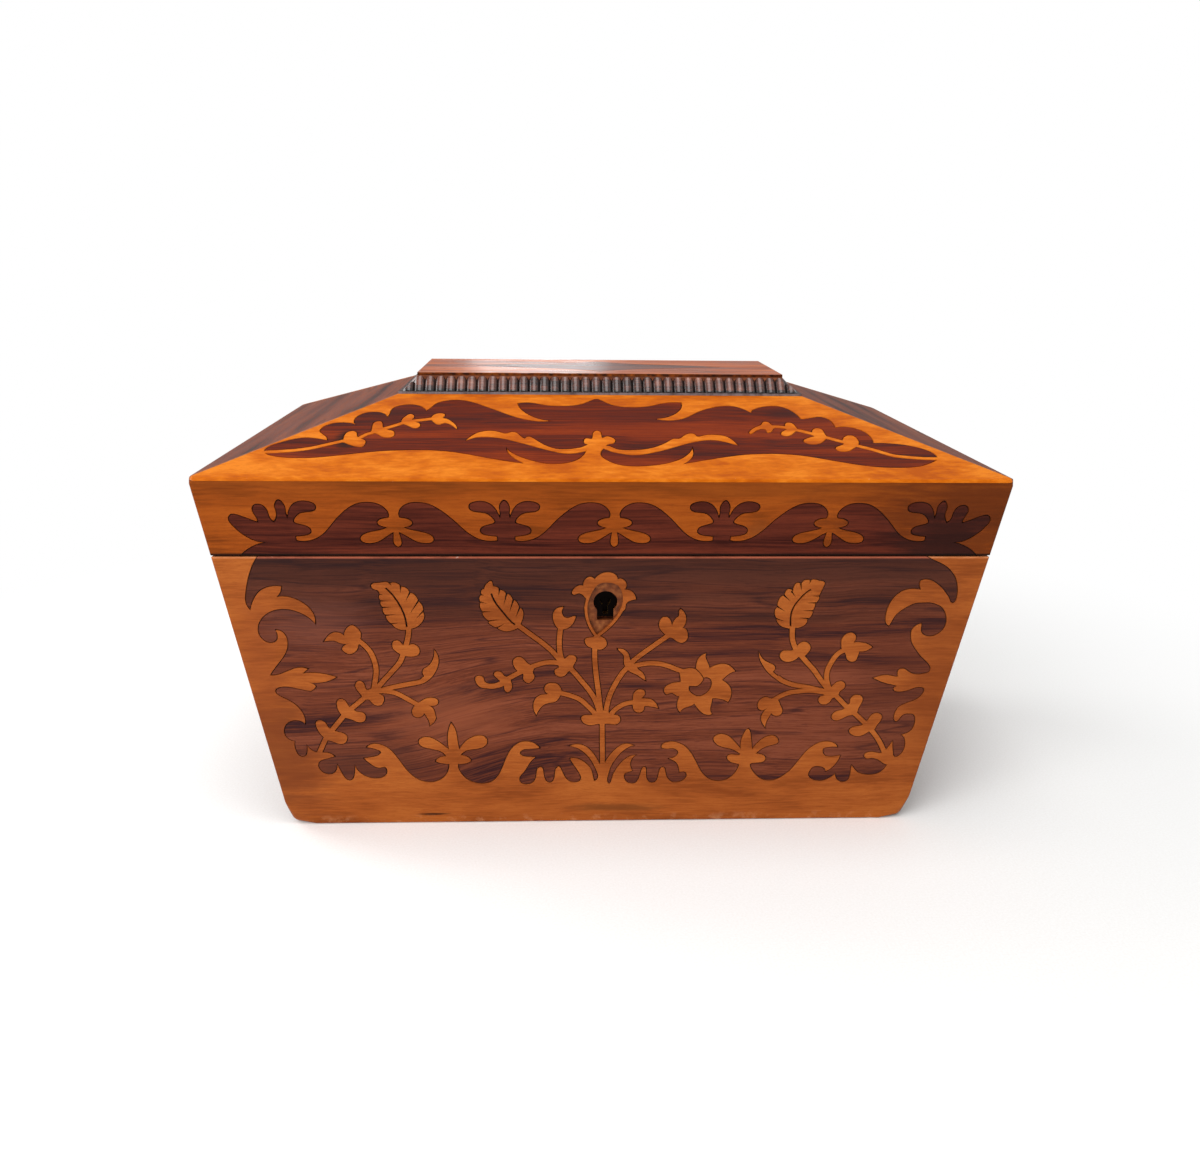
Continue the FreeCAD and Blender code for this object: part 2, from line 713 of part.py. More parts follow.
def curve(points):
    if len(points) == 2:
        return Part.makeLine(points[0], points[1])
    steps = [(after - before).Length ** EVENNESS_SHARE for before, after in zip(points, points[1:])]
    line = Part.BSplineCurve()
    line.interpolate(Points=points, Parameters=list(itertools.accumulate(steps, initial=0)))
    return line.toShape()


class Panel:
    def __init__(self, point, depth):
        self.point = point
        self.depth = depth
        corner = point(0, 0)
        self.normal = (point(1, 0) - corner).cross(point(0, 1) - corner).normalize()

    def grown(self, points, grow):
        middle = points[0]
        following = points[1:] + points[:1]
        area = sum((a - middle).cross(b - middle).dot(self.normal) for a, b in zip(points, following))
        turn = math.copysign(1, area)
        moved = []
        for index, point in enumerate(points):
            before = (point - points[index - 1]).normalize()
            after = (following[index] - point).normalize()
            outward = (before + after).cross(self.normal).normalize()
            convex = before.cross(after).dot(self.normal) * turn > 0
            least_share = BLUNT_SHARE if convex else KEEN_SHARE
            mitre = max(outward.dot(before.cross(self.normal)), least_share)
            moved.append(point + outward * (grow * turn / mitre))
        return moved

    def outline(self, shares, grow=0):
        points = self.grown([self.point(*share[:2]) for share in shares], grow)
        sharp = [len(share) > 2 for share in shares]
        if not any(sharp):
            line = Part.BSplineCurve()
            line.interpolate(points, True)
            return Part.Face(Part.Wire([line.toShape()]))
        first = sharp.index(True)
        points = points[first:] + points[:first + 1]
        sharp = sharp[first:] + sharp[:first + 1]
        edges = []
        run = points[:1]
        for point, ends in zip(points[1:], sharp[1:]):
            run.append(point)
            if ends:
                edges.append(curve(run))
                run = [point]
        return Part.Face(Part.Wire(edges))

    def stem(self, shares, width, grow=0):
        points = [self.point(*share) for share in shares]
        left = []
        right = []
        for index, point in enumerate(points):
            tangent = points[min(index + 1, len(points) - 1)] - points[max(index - 1, 0)]
            aside = self.normal.cross(tangent).normalize() * (width / 2 + grow)
            left.append(point + aside)
            right.append(point - aside)
        edges = [
            curve(left),
            Part.makeLine(left[-1], right[-1]),
            curve(right[::-1]),
            Part.makeLine(right[0], left[0]),
        ]
        return Part.Face(Part.Wire(edges))

    def slab(self, faces):
        return Part.Compound([face.extrude(self.depth) for face in faces])


def joined(faces):
    uses = {}
    for face in faces[0].multiFuse(faces[1:]).Faces:
        for edge in face.Edges:
            uses.setdefault(edge.hashCode(), []).append(edge)
    rim = [edges[0] for edges in uses.values() if len(edges) == 1]
    wires = [Part.Wire(run) for run in Part.sortEdges(rim)]
    return Part.makeFace(Part.Compound(wires), "Part::FaceMakerBullseye")


def half_value(span, height):
    lean = (size(f"lid_edge_{span}") - size(f"base_{span}")) / 2 / size("lid_edge_height")
    return size(f"base_{span}") / 2 + lean * height


def leaning_point(across, height):
    return Vector(across * half_value("width", height), -half_value("depth", height), height)


def front_point(across, up):
    return leaning_point(across, up * size("seam_height"))


def band_point(across, up):
    low = size("seam_height") + size("seam_gap")
    high = size("lid_edge_height") - size("veneer_thickness")
    return leaning_point(across, low + up * (high - low))


def slope_point(across, up):
    def between(name):
        return size(f"lid_edge_{name}") + up * (size(f"moulding_foot_{name}") - size(f"lid_edge_{name}"))

    return Vector(across * between("width") / 2, -between("depth") / 2, between("height"))


def plateau_point(across, up):
    half_width = size("moulding_foot_width") / 2 - size("moulding_span")
    depth = size("moulding_foot_depth") - 2 * size("moulding_span")
    top = size("moulding_foot_height") + size("fillet_thickness") + size("moulding_span")
    return Vector(across * half_width, (up - 1 / 2) * depth, top)


kerf = size("saw_kerf")
inward = Vector(0, size("veneer_thickness"), 0)
downward = Vector(0, 0, -size("veneer_thickness"))
front = Panel(front_point, inward)
band = Panel(band_point, inward)
lid_front = Panel(slope_point, downward)
plateau = Panel(plateau_point, downward)
EDGE_SHARES = [(-1, 0, 1), (1, 0, 1), (1, 1, 1), (-1, 1, 1)]


def mirrored_shares(shares, about_share=0):
    return [(2 * about_share - share[0], *share[1:]) for share in reversed(shares)]


def veneer(label, panel, faces):
    item = add("Part::Feature", label)
    item.Shape = panel.slab(faces)
    return piece(item)


class Motif:
    """Stems and free outlines that are sawn as one spray."""

    def __init__(self, stems, outlines):
        self.stems = stems
        self.outlines = outlines

    def faces(self, panel, width, grow=0):
        found = [panel.stem(stem, width, grow) for stem in self.stems]
        found += [panel.outline(outline, grow) for outline in self.outlines]
        return found


# Front of the body: a scroll border, given from its left top to the middle line and on to its right top, and
# three sprays

LEFT_BORDER_SHARES = [
    (-0.885, 1, 1), (-0.915, 0.945), (-0.938, 0.88), (-0.945, 0.845), (-0.938, 0.818, 1),
    (-0.922, 0.855), (-0.897, 0.887), (-0.868, 0.9), (-0.842, 0.9, 1), (-0.85, 0.878), (-0.862, 0.864, 1),
    (-0.83, 0.864), (-0.8, 0.847), (-0.778, 0.815), (-0.777, 0.772, 1),
    (-0.8, 0.803), (-0.845, 0.823), (-0.89, 0.812), (-0.922, 0.78), (-0.934, 0.742), (-0.925, 0.712),
    (-0.906, 0.703), (-0.89, 0.712), (-0.886, 0.748, 1),
    (-0.868, 0.74), (-0.862, 0.712), (-0.874, 0.67), (-0.902, 0.63), (-0.935, 0.585, 1),
    (-0.9, 0.592), (-0.862, 0.61), (-0.826, 0.608, 1), (-0.843, 0.592, 1),
    (-0.8, 0.593), (-0.752, 0.578, 1), (-0.785, 0.561), (-0.832, 0.558, 1),
    (-0.816, 0.545), (-0.832, 0.527, 1), (-0.87, 0.537), (-0.905, 0.544), (-0.93, 0.533), (-0.93, 0.516),
    (-0.905, 0.495), (-0.882, 0.47), (-0.87, 0.435), (-0.873, 0.403, 1),
    (-0.89, 0.416), (-0.918, 0.41), (-0.938, 0.382), (-0.938, 0.352), (-0.916, 0.335, 1),
    (-0.921, 0.302), (-0.912, 0.276), (-0.897, 0.276), (-0.886, 0.297), (-0.883, 0.318, 1),
    (-0.872, 0.298), (-0.856, 0.29), (-0.835, 0.29), (-0.81, 0.275, 1),
    (-0.835, 0.266), (-0.858, 0.255), (-0.866, 0.232), (-0.852, 0.207), (-0.83, 0.204), (-0.816, 0.216),
    (-0.807, 0.24, 1), (-0.8, 0.207), (-0.788, 0.18), (-0.774, 0.179), (-0.762, 0.2), (-0.754, 0.237, 1),
    (-0.742, 0.205), (-0.715, 0.187), (-0.682, 0.187), (-0.661, 0.207), (-0.664, 0.23), (-0.682, 0.228),
    (-0.703, 0.24), (-0.722, 0.266, 1), (-0.7, 0.27), (-0.678, 0.277), (-0.668, 0.29), (-0.68, 0.301),
    (-0.706, 0.31, 1), (-0.688, 0.322), (-0.662, 0.318), (-0.638, 0.297), (-0.615, 0.25), (-0.592, 0.203),
    (-0.562, 0.174), (-0.53, 0.167), (-0.5, 0.178), (-0.478, 0.203), (-0.468, 0.24, 1),
    (-0.488, 0.243), (-0.506, 0.252), (-0.498, 0.264), (-0.474, 0.27, 1),
    (-0.492, 0.293), (-0.52, 0.302), (-0.546, 0.315), (-0.548, 0.336), (-0.525, 0.348), (-0.495, 0.333),
    (-0.463, 0.298, 1), (-0.463, 0.335), (-0.458, 0.37), (-0.447, 0.402, 1), (-0.436, 0.37), (-0.434, 0.33),
    (-0.431, 0.298, 1), (-0.41, 0.33), (-0.38, 0.35), (-0.352, 0.347), (-0.347, 0.322), (-0.368, 0.303),
    (-0.4, 0.297), (-0.43, 0.275, 1), (-0.408, 0.267), (-0.401, 0.253), (-0.415, 0.243), (-0.441, 0.24, 1),
    (-0.438, 0.21), (-0.415, 0.175), (-0.378, 0.16), (-0.342, 0.168), (-0.315, 0.203), (-0.297, 0.25),
    (-0.275, 0.298), (-0.245, 0.325), (-0.215, 0.325), (-0.19, 0.302, 1),
    (-0.215, 0.299), (-0.242, 0.294), (-0.25, 0.28), (-0.241, 0.27), (-0.224, 0.266), (-0.204, 0.264, 1),
    (-0.217, 0.25), (-0.228, 0.23), (-0.241, 0.206), (-0.255, 0.185), (-0.254, 0.164), (-0.24, 0.155),
    (-0.218, 0.16), (-0.204, 0.185), (-0.197, 0.22), (-0.186, 0.224), (-0.18, 0.195),
    (-0.172, 0.167), (-0.158, 0.162),
    (-0.147, 0.18), (-0.142, 0.215), (-0.132, 0.226), (-0.122, 0.205), (-0.11, 0.177), (-0.092, 0.162),
    (-0.07, 0.165), (-0.064, 0.183), (-0.082, 0.225), (-0.097, 0.258, 1),
    (-0.075, 0.258), (-0.05, 0.24), (-0.03, 0.205), (-0.021, 0.166), (-0.011, 0.18), (-0.018, 0.215),
    (-0.035, 0.255), (-0.062, 0.29), (-0.097, 0.308, 1), (-0.07, 0.315), (-0.045, 0.302), (-0.022, 0.27),
    (-0.006, 0.235, 1),
]
RIGHT_BORDER_SHARES = [
    (0.01, 0.238, 1), (0.018, 0.26), (0.03, 0.28), (0.044, 0.298), (0.057, 0.31), (0.071, 0.316),
    (0.085, 0.314), (0.096, 0.309, 1), (0.082, 0.303), (0.066, 0.29), (0.053, 0.274), (0.039, 0.25),
    (0.027, 0.221), (0.021, 0.192), (0.018, 0.171), (0.021, 0.158), (0.026, 0.154), (0.03, 0.161),
    (0.035, 0.188), (0.046, 0.216), (0.059, 0.239), (0.075, 0.258), (0.089, 0.267), (0.104, 0.269, 1),
    (0.095, 0.26), (0.089, 0.244), (0.089, 0.227), (0.095, 0.208, 1), (0.084, 0.202), (0.073, 0.195),
    (0.071, 0.179), (0.078, 0.163), (0.091, 0.155), (0.105, 0.155), (0.114, 0.166), (0.119, 0.183),
    (0.123, 0.205), (0.129, 0.221), (0.135, 0.221), (0.139, 0.205), (0.141, 0.179), (0.148, 0.163),
    (0.159, 0.157), (0.171, 0.162), (0.177, 0.179), (0.18, 0.205), (0.186, 0.219), (0.193, 0.219),
    (0.199, 0.204), (0.203, 0.186), (0.212, 0.169), (0.225, 0.159), (0.243, 0.159), (0.259, 0.168),
    (0.267, 0.183), (0.263, 0.198), (0.253, 0.202), (0.244, 0.199, 1), (0.24, 0.217), (0.232, 0.237),
    (0.22, 0.248), (0.207, 0.255, 1), (0.22, 0.259), (0.23, 0.267), (0.234, 0.279), (0.226, 0.292),
    (0.213, 0.296), (0.199, 0.295), (0.182, 0.299, 1), (0.184, 0.313), (0.195, 0.32), (0.211, 0.323),
    (0.228, 0.319), (0.245, 0.31), (0.26, 0.296), (0.273, 0.277), (0.285, 0.255), (0.295, 0.233),
    (0.306, 0.211), (0.321, 0.188), (0.339, 0.171), (0.36, 0.163), (0.382, 0.163), (0.4, 0.172),
    (0.413, 0.185), (0.423, 0.206), (0.428, 0.23, 1), (0.41, 0.235), (0.395, 0.243), (0.387, 0.256),
    (0.39, 0.267), (0.401, 0.27), (0.416, 0.267), (0.427, 0.271, 1), (0.413, 0.282), (0.395, 0.292),
    (0.374, 0.298), (0.354, 0.307), (0.34, 0.323), (0.338, 0.338), (0.348, 0.349), (0.363, 0.351),
    (0.381, 0.344), (0.396, 0.329), (0.411, 0.311), (0.426, 0.291, 1), (0.422, 0.311), (0.423, 0.332),
    (0.427, 0.352), (0.433, 0.367), (0.438, 0.371), (0.445, 0.361), (0.452, 0.333), (0.456, 0.312),
    (0.461, 0.289, 1), (0.468, 0.307), (0.478, 0.322), (0.49, 0.335), (0.505, 0.343), (0.521, 0.343),
    (0.532, 0.333), (0.537, 0.319), (0.531, 0.311), (0.516, 0.306), (0.5, 0.299), (0.485, 0.288),
    (0.475, 0.272, 1), (0.486, 0.271), (0.498, 0.266), (0.506, 0.255), (0.503, 0.242), (0.489, 0.236),
    (0.472, 0.235), (0.461, 0.23, 1), (0.464, 0.218), (0.472, 0.203), (0.485, 0.186), (0.501, 0.171),
    (0.519, 0.163), (0.537, 0.162), (0.554, 0.167), (0.569, 0.178), (0.586, 0.196), (0.602, 0.222),
    (0.615, 0.251), (0.627, 0.276), (0.641, 0.296), (0.658, 0.311), (0.679, 0.319), (0.699, 0.317),
    (0.715, 0.308), (0.722, 0.297, 1), (0.707, 0.298), (0.692, 0.296), (0.681, 0.291), (0.681, 0.277),
    (0.689, 0.264), (0.704, 0.258), (0.721, 0.259), (0.738, 0.262, 1), (0.734, 0.239), (0.726, 0.221),
    (0.716, 0.207), (0.704, 0.199, 1), (0.697, 0.212), (0.68, 0.219), (0.663, 0.217), (0.654, 0.203),
    (0.652, 0.184), (0.662, 0.169), (0.68, 0.16), (0.7, 0.159), (0.721, 0.169), (0.737, 0.186, 1),
    (0.744, 0.168), (0.756, 0.156), (0.77, 0.153), (0.782, 0.159), (0.786, 0.178), (0.784, 0.201),
    (0.783, 0.22, 1), (0.794, 0.207), (0.807, 0.193), (0.825, 0.185), (0.844, 0.182), (0.865, 0.184),
    (0.883, 0.196), (0.891, 0.211), (0.895, 0.225, 1), (0.881, 0.229), (0.867, 0.24), (0.852, 0.248),
    (0.838, 0.251), (0.827, 0.249), (0.816, 0.256), (0.815, 0.268), (0.824, 0.274), (0.839, 0.275),
    (0.855, 0.271), (0.866, 0.271), (0.875, 0.279), (0.881, 0.292), (0.885, 0.304), (0.889, 0.317, 1),
    (0.894, 0.296), (0.9, 0.276), (0.907, 0.258), (0.916, 0.254), (0.927, 0.265), (0.933, 0.286),
    (0.931, 0.309), (0.924, 0.329), (0.911, 0.343, 1), (0.922, 0.348), (0.934, 0.357), (0.94, 0.372),
    (0.94, 0.395), (0.935, 0.414), (0.925, 0.425), (0.912, 0.427), (0.9, 0.425), (0.892, 0.415),
    (0.888, 0.404), (0.881, 0.397, 1), (0.874, 0.405), (0.871, 0.42), (0.872, 0.439), (0.878, 0.454),
    (0.888, 0.463), (0.904, 0.472), (0.921, 0.481), (0.933, 0.496), (0.938, 0.512), (0.936, 0.523),
    (0.925, 0.529), (0.908, 0.527), (0.89, 0.518), (0.872, 0.513), (0.857, 0.513), (0.848, 0.518),
    (0.846, 0.526), (0.854, 0.533, 1), (0.84, 0.539), (0.825, 0.543), (0.81, 0.548), (0.797, 0.554),
    (0.778, 0.564, 1), (0.791, 0.571), (0.807, 0.575), (0.824, 0.574), (0.838, 0.57), (0.849, 0.57, 1),
    (0.844, 0.584), (0.846, 0.595), (0.855, 0.6), (0.865, 0.596), (0.877, 0.587), (0.893, 0.579),
    (0.911, 0.578), (0.924, 0.581), (0.935, 0.587), (0.936, 0.6), (0.93, 0.612), (0.916, 0.628),
    (0.9, 0.643), (0.884, 0.662), (0.87, 0.681), (0.859, 0.699), (0.852, 0.72), (0.85, 0.742),
    (0.857, 0.757), (0.871, 0.765, 1), (0.873, 0.754), (0.875, 0.742), (0.883, 0.728), (0.896, 0.72),
    (0.913, 0.72), (0.927, 0.729), (0.937, 0.744), (0.94, 0.765), (0.936, 0.786), (0.925, 0.81),
    (0.913, 0.825), (0.897, 0.835), (0.877, 0.841), (0.857, 0.841), (0.839, 0.839), (0.823, 0.83),
    (0.809, 0.818), (0.798, 0.805), (0.79, 0.789), (0.786, 0.772), (0.782, 0.759, 1), (0.772, 0.769),
    (0.767, 0.79), (0.766, 0.814), (0.769, 0.838), (0.776, 0.858), (0.788, 0.876), (0.804, 0.886),
    (0.819, 0.889), (0.831, 0.888), (0.843, 0.886, 1), (0.836, 0.902), (0.835, 0.916), (0.842, 0.921),
    (0.855, 0.921), (0.87, 0.915), (0.886, 0.903), (0.9, 0.89), (0.912, 0.875), (0.925, 0.858),
    (0.933, 0.843), (0.94, 0.838), (0.946, 0.843), (0.947, 0.858), (0.944, 0.881), (0.936, 0.908),
    (0.927, 0.928), (0.913, 0.948), (0.896, 0.965), (0.877, 0.978), (0.858, 0.988), (0.837, 1, 1),
]

LEFT_SPRAY_SHARES = Motif(
    [
        [
            (-0.881, 0.242), (-0.845, 0.303), (-0.819, 0.35), (-0.785, 0.394), (-0.754, 0.433),
            (-0.717, 0.47), (-0.681, 0.504), (-0.656, 0.526),
        ],
        [
            (-0.657, 0.52), (-0.646, 0.562), (-0.638, 0.598), (-0.637, 0.629), (-0.642, 0.662),
            (-0.654, 0.689), (-0.673, 0.713),
        ],
        [
            (-0.654, 0.52), (-0.621, 0.565), (-0.591, 0.601), (-0.566, 0.635), (-0.553, 0.668),
            (-0.54, 0.704), (-0.531, 0.742), (-0.529, 0.775),
        ],
        [
            (-0.654, 0.518), (-0.616, 0.534), (-0.58, 0.544), (-0.546, 0.552), (-0.519, 0.559),
            (-0.499, 0.573),
        ],
        [
            (-0.654, 0.525), (-0.62, 0.524), (-0.592, 0.516), (-0.569, 0.499), (-0.549, 0.483),
            (-0.53, 0.467),
        ],
    ],
    [
        [
            (-0.763, 0.708, 1), (-0.751, 0.726), (-0.735, 0.739), (-0.718, 0.739), (-0.706, 0.727, 1),
            (-0.701, 0.746), (-0.69, 0.76), (-0.679, 0.765), (-0.668, 0.756), (-0.661, 0.74),
            (-0.663, 0.721), (-0.671, 0.7), (-0.678, 0.68), (-0.689, 0.667), (-0.701, 0.662),
            (-0.714, 0.669), (-0.719, 0.681), (-0.712, 0.692), (-0.697, 0.702, 1), (-0.711, 0.699),
            (-0.724, 0.703), (-0.736, 0.71), (-0.75, 0.71),
        ],
        [
            (-0.581, 0.694), (-0.577, 0.706), (-0.564, 0.71), (-0.555, 0.699), (-0.547, 0.687, 1),
            (-0.537, 0.691, 1), (-0.524, 0.697), (-0.513, 0.689), (-0.509, 0.673), (-0.515, 0.658),
            (-0.529, 0.652), (-0.546, 0.653), (-0.561, 0.659), (-0.571, 0.668), (-0.58, 0.68),
        ],
        [
            (-0.469, 0.676, 1), (-0.461, 0.655), (-0.461, 0.631), (-0.468, 0.607), (-0.481, 0.582),
            (-0.497, 0.564), (-0.51, 0.557), (-0.516, 0.564), (-0.506, 0.579, 1), (-0.509, 0.596),
            (-0.504, 0.607), (-0.491, 0.617), (-0.479, 0.634), (-0.471, 0.655),
        ],
        [
            (-0.69, 0.5), (-0.701, 0.529), (-0.704, 0.545), (-0.699, 0.558), (-0.689, 0.563), (-0.68, 0.556),
            (-0.677, 0.541), (-0.674, 0.529), (-0.658, 0.535), (-0.646, 0.528), (-0.642, 0.515),
            (-0.633, 0.509), (-0.63, 0.496), (-0.634, 0.482), (-0.644, 0.471), (-0.655, 0.471),
            (-0.666, 0.48), (-0.674, 0.493), (-0.683, 0.494),
        ],
        [
            (-0.54, 0.474), (-0.522, 0.489), (-0.505, 0.498), (-0.488, 0.498), (-0.477, 0.489),
            (-0.479, 0.476), (-0.489, 0.469), (-0.507, 0.47, 1), (-0.493, 0.456), (-0.49, 0.438),
            (-0.49, 0.419), (-0.499, 0.403), (-0.51, 0.393, 1), (-0.511, 0.411), (-0.516, 0.427),
            (-0.522, 0.442, 1), (-0.528, 0.43), (-0.541, 0.424), (-0.553, 0.431), (-0.556, 0.445),
            (-0.552, 0.459),
        ],
        [
            (-0.761, 0.435), (-0.767, 0.454), (-0.768, 0.473), (-0.764, 0.489), (-0.754, 0.496),
            (-0.744, 0.492), (-0.738, 0.479), (-0.734, 0.467), (-0.725, 0.456), (-0.715, 0.448),
            (-0.703, 0.446), (-0.694, 0.439), (-0.693, 0.426), (-0.698, 0.413), (-0.709, 0.407),
            (-0.721, 0.409), (-0.733, 0.417), (-0.745, 0.422), (-0.754, 0.426),
        ],
        [
            (-0.826, 0.347), (-0.834, 0.36), (-0.84, 0.378), (-0.842, 0.395), (-0.839, 0.409),
            (-0.829, 0.415), (-0.819, 0.412), (-0.811, 0.401), (-0.807, 0.387), (-0.799, 0.38),
            (-0.787, 0.372), (-0.775, 0.368), (-0.764, 0.362), (-0.759, 0.351), (-0.763, 0.336),
            (-0.773, 0.325), (-0.786, 0.324), (-0.798, 0.329), (-0.809, 0.335), (-0.818, 0.338),
        ],
    ],
)
RIGHT_SPRAY_SHARES = Motif(
    [
        [
            (0.885, 0.252), (0.871, 0.279), (0.856, 0.306), (0.84, 0.33), (0.822, 0.353), (0.805, 0.373),
            (0.786, 0.393), (0.763, 0.416), (0.742, 0.436), (0.714, 0.462), (0.69, 0.488), (0.66, 0.517),
        ],
        [
            (0.516, 0.76), (0.519, 0.724), (0.526, 0.697), (0.538, 0.672), (0.554, 0.651), (0.574, 0.626),
            (0.598, 0.598), (0.617, 0.571), (0.638, 0.542), (0.665, 0.512),
        ],
        [
            (0.69, 0.67), (0.665, 0.663), (0.652, 0.644), (0.643, 0.616), (0.639, 0.591), (0.642, 0.564),
            (0.649, 0.542), (0.661, 0.51),
        ],
        [
            (0.499, 0.57), (0.515, 0.556), (0.534, 0.546), (0.554, 0.539), (0.584, 0.533), (0.615, 0.524),
            (0.656, 0.512),
        ],
        [
            (0.495, 0.477), (0.521, 0.5), (0.544, 0.511), (0.572, 0.516), (0.601, 0.518), (0.631, 0.514),
            (0.659, 0.507),
        ],
    ],
    [
        [
            (0.662, 0.69), (0.66, 0.705), (0.664, 0.721), (0.674, 0.731), (0.686, 0.732), (0.696, 0.723),
            (0.699, 0.711), (0.695, 0.697, 1), (0.708, 0.698), (0.724, 0.696), (0.739, 0.69),
            (0.751, 0.68, 1), (0.743, 0.671), (0.731, 0.665), (0.718, 0.665, 1), (0.717, 0.65),
            (0.715, 0.636), (0.71, 0.628), (0.7, 0.627), (0.688, 0.636), (0.683, 0.649), (0.676, 0.662),
            (0.667, 0.673),
        ],
        [
            (0.532, 0.672), (0.518, 0.668), (0.504, 0.668), (0.496, 0.66), (0.495, 0.648), (0.503, 0.634),
            (0.517, 0.627), (0.531, 0.629), (0.544, 0.639), (0.553, 0.648), (0.563, 0.648), (0.571, 0.657),
            (0.576, 0.668), (0.577, 0.68), (0.57, 0.693), (0.558, 0.7), (0.547, 0.697), (0.54, 0.688),
        ],
        [
            (0.434, 0.663, 1), (0.441, 0.648), (0.451, 0.635), (0.465, 0.625), (0.478, 0.618),
            (0.487, 0.607), (0.486, 0.595), (0.482, 0.59, 1), (0.493, 0.58), (0.509, 0.566),
            (0.525, 0.555, 1), (0.52, 0.546), (0.5, 0.559), (0.481, 0.575), (0.464, 0.594), (0.45, 0.616),
            (0.44, 0.637),
        ],
        [
            (0.517, 0.476), (0.503, 0.488), (0.49, 0.489), (0.477, 0.495), (0.466, 0.491), (0.457, 0.48),
            (0.455, 0.464), (0.459, 0.45), (0.47, 0.443), (0.48, 0.448), (0.487, 0.457, 1), (0.478, 0.441),
            (0.472, 0.425), (0.472, 0.409), (0.478, 0.393), (0.489, 0.376, 1), (0.489, 0.396),
            (0.493, 0.412), (0.498, 0.426), (0.498, 0.439, 1), (0.504, 0.426), (0.515, 0.421),
            (0.525, 0.423), (0.531, 0.435), (0.529, 0.45), (0.522, 0.463),
        ],
        [
            (0.646, 0.511), (0.658, 0.526), (0.666, 0.539), (0.675, 0.55), (0.685, 0.553), (0.696, 0.548),
            (0.701, 0.536), (0.697, 0.523), (0.689, 0.513), (0.687, 0.501), (0.679, 0.493), (0.672, 0.488),
            (0.667, 0.475), (0.659, 0.467), (0.648, 0.465), (0.637, 0.471), (0.632, 0.485), (0.637, 0.496),
            (0.646, 0.5),
        ],
        [
            (0.727, 0.472), (0.727, 0.488), (0.735, 0.499), (0.747, 0.5), (0.758, 0.494), (0.763, 0.481),
            (0.761, 0.465), (0.757, 0.449), (0.756, 0.433), (0.748, 0.425), (0.735, 0.421), (0.721, 0.413),
            (0.708, 0.404), (0.696, 0.402), (0.685, 0.41), (0.684, 0.427), (0.691, 0.436), (0.703, 0.441),
            (0.715, 0.447), (0.721, 0.459),
        ],
        [
            (0.788, 0.393), (0.796, 0.406), (0.8, 0.419), (0.809, 0.428), (0.821, 0.429), (0.832, 0.421),
            (0.835, 0.406), (0.83, 0.389), (0.825, 0.376), (0.823, 0.365), (0.813, 0.361), (0.802, 0.352),
            (0.789, 0.342), (0.771, 0.34), (0.757, 0.346), (0.747, 0.359), (0.749, 0.37), (0.759, 0.377),
            (0.773, 0.38), (0.784, 0.385),
        ],
    ],
)

FLOWER_SHARES = [
    (0.2617, 0.601, 1), (0.2617, 0.619), (0.2658, 0.64), (0.2755, 0.653), (0.2857, 0.659, 1),
    (0.2865, 0.641), (0.2948, 0.621), (0.2999, 0.604, 1), (0.3122, 0.613), (0.3318, 0.62), (0.351, 0.617),
    (0.3653, 0.605), (0.3747, 0.592, 1), (0.3628, 0.587), (0.3509, 0.575), (0.3398, 0.56, 1),
    (0.3568, 0.546), (0.3682, 0.528), (0.3724, 0.503), (0.3656, 0.476, 1), (0.3511, 0.485), (0.3342, 0.49),
    (0.3184, 0.491, 1), (0.3173, 0.47), (0.3159, 0.453), (0.3226, 0.43, 1), (0.3054, 0.428),
    (0.2859, 0.443), (0.267, 0.471, 1), (0.2572, 0.462), (0.2412, 0.455), (0.2281, 0.438, 1),
    (0.2185, 0.457), (0.2182, 0.483), (0.2229, 0.501, 1), (0.2109, 0.503), (0.1969, 0.512), (0.1839, 0.507),
    (0.1753, 0.522), (0.182, 0.539), (0.2004, 0.55), (0.2215, 0.553, 1), (0.2186, 0.574), (0.218, 0.593),
    (0.229, 0.601), (0.2447, 0.605), (0.255, 0.603),
]
FLOWER_EYE_SHARES = [
    (0.2855, 0.568, 1), (0.2971, 0.57), (0.3081, 0.561), (0.3119, 0.544), (0.3072, 0.523), (0.2953, 0.507),
    (0.2781, 0.499), (0.2612, 0.506), (0.2489, 0.52), (0.2469, 0.538, 1), (0.2572, 0.538), (0.2683, 0.538),
    (0.2772, 0.545), (0.2842, 0.558),
]
FLOWER_CUT_SHARES = [(0.2585, 0.606), (0.2704, 0.592), (0.2786, 0.581), (0.2872, 0.564)]
CROWN_SHARES = [
    (-0.0881, 0.874, 1), (-0.0841, 0.889), (-0.0713, 0.901), (-0.0578, 0.901, 1), (-0.0554, 0.919),
    (-0.0444, 0.931), (-0.0342, 0.93), (-0.0286, 0.923, 1), (-0.0177, 0.938), (0.0027, 0.947),
    (0.0233, 0.941), (0.0314, 0.922, 1), (0.0419, 0.925), (0.0533, 0.913), (0.0546, 0.898),
    (0.0501, 0.887, 1), (0.0629, 0.886), (0.0745, 0.876), (0.082, 0.854, 1), (0.0689, 0.85),
    (0.0563, 0.838), (0.049, 0.813), (-0.0519, 0.813), (-0.0504, 0.847), (-0.0553, 0.864),
    (-0.0697, 0.875), (-0.0801, 0.871),
]
RECESS_SHARES = [
    (-0.0201, 0.728, 1), (-0.0021, 0.746), (0.0173, 0.77), (0.0346, 0.8), (0.0452, 0.83),
    (0.0475, 0.855), (0.043, 0.883), (0.0305, 0.904), (0.0065, 0.912), (-0.0173, 0.907), (-0.0314, 0.887),
    (-0.0416, 0.86), (-0.0471, 0.83), (-0.0453, 0.794), (-0.0352, 0.757),
]
CALYX_SHARES = [
    (-0.054, 0.707, 1), (-0.0482, 0.717), (-0.0333, 0.72), (-0.02, 0.724), (-0.0026, 0.718), (0.0036, 0.71),
    (0.0071, 0.696), (0.0023, 0.683), (-0.0094, 0.675), (-0.0347, 0.681), (-0.0481, 0.69),
]
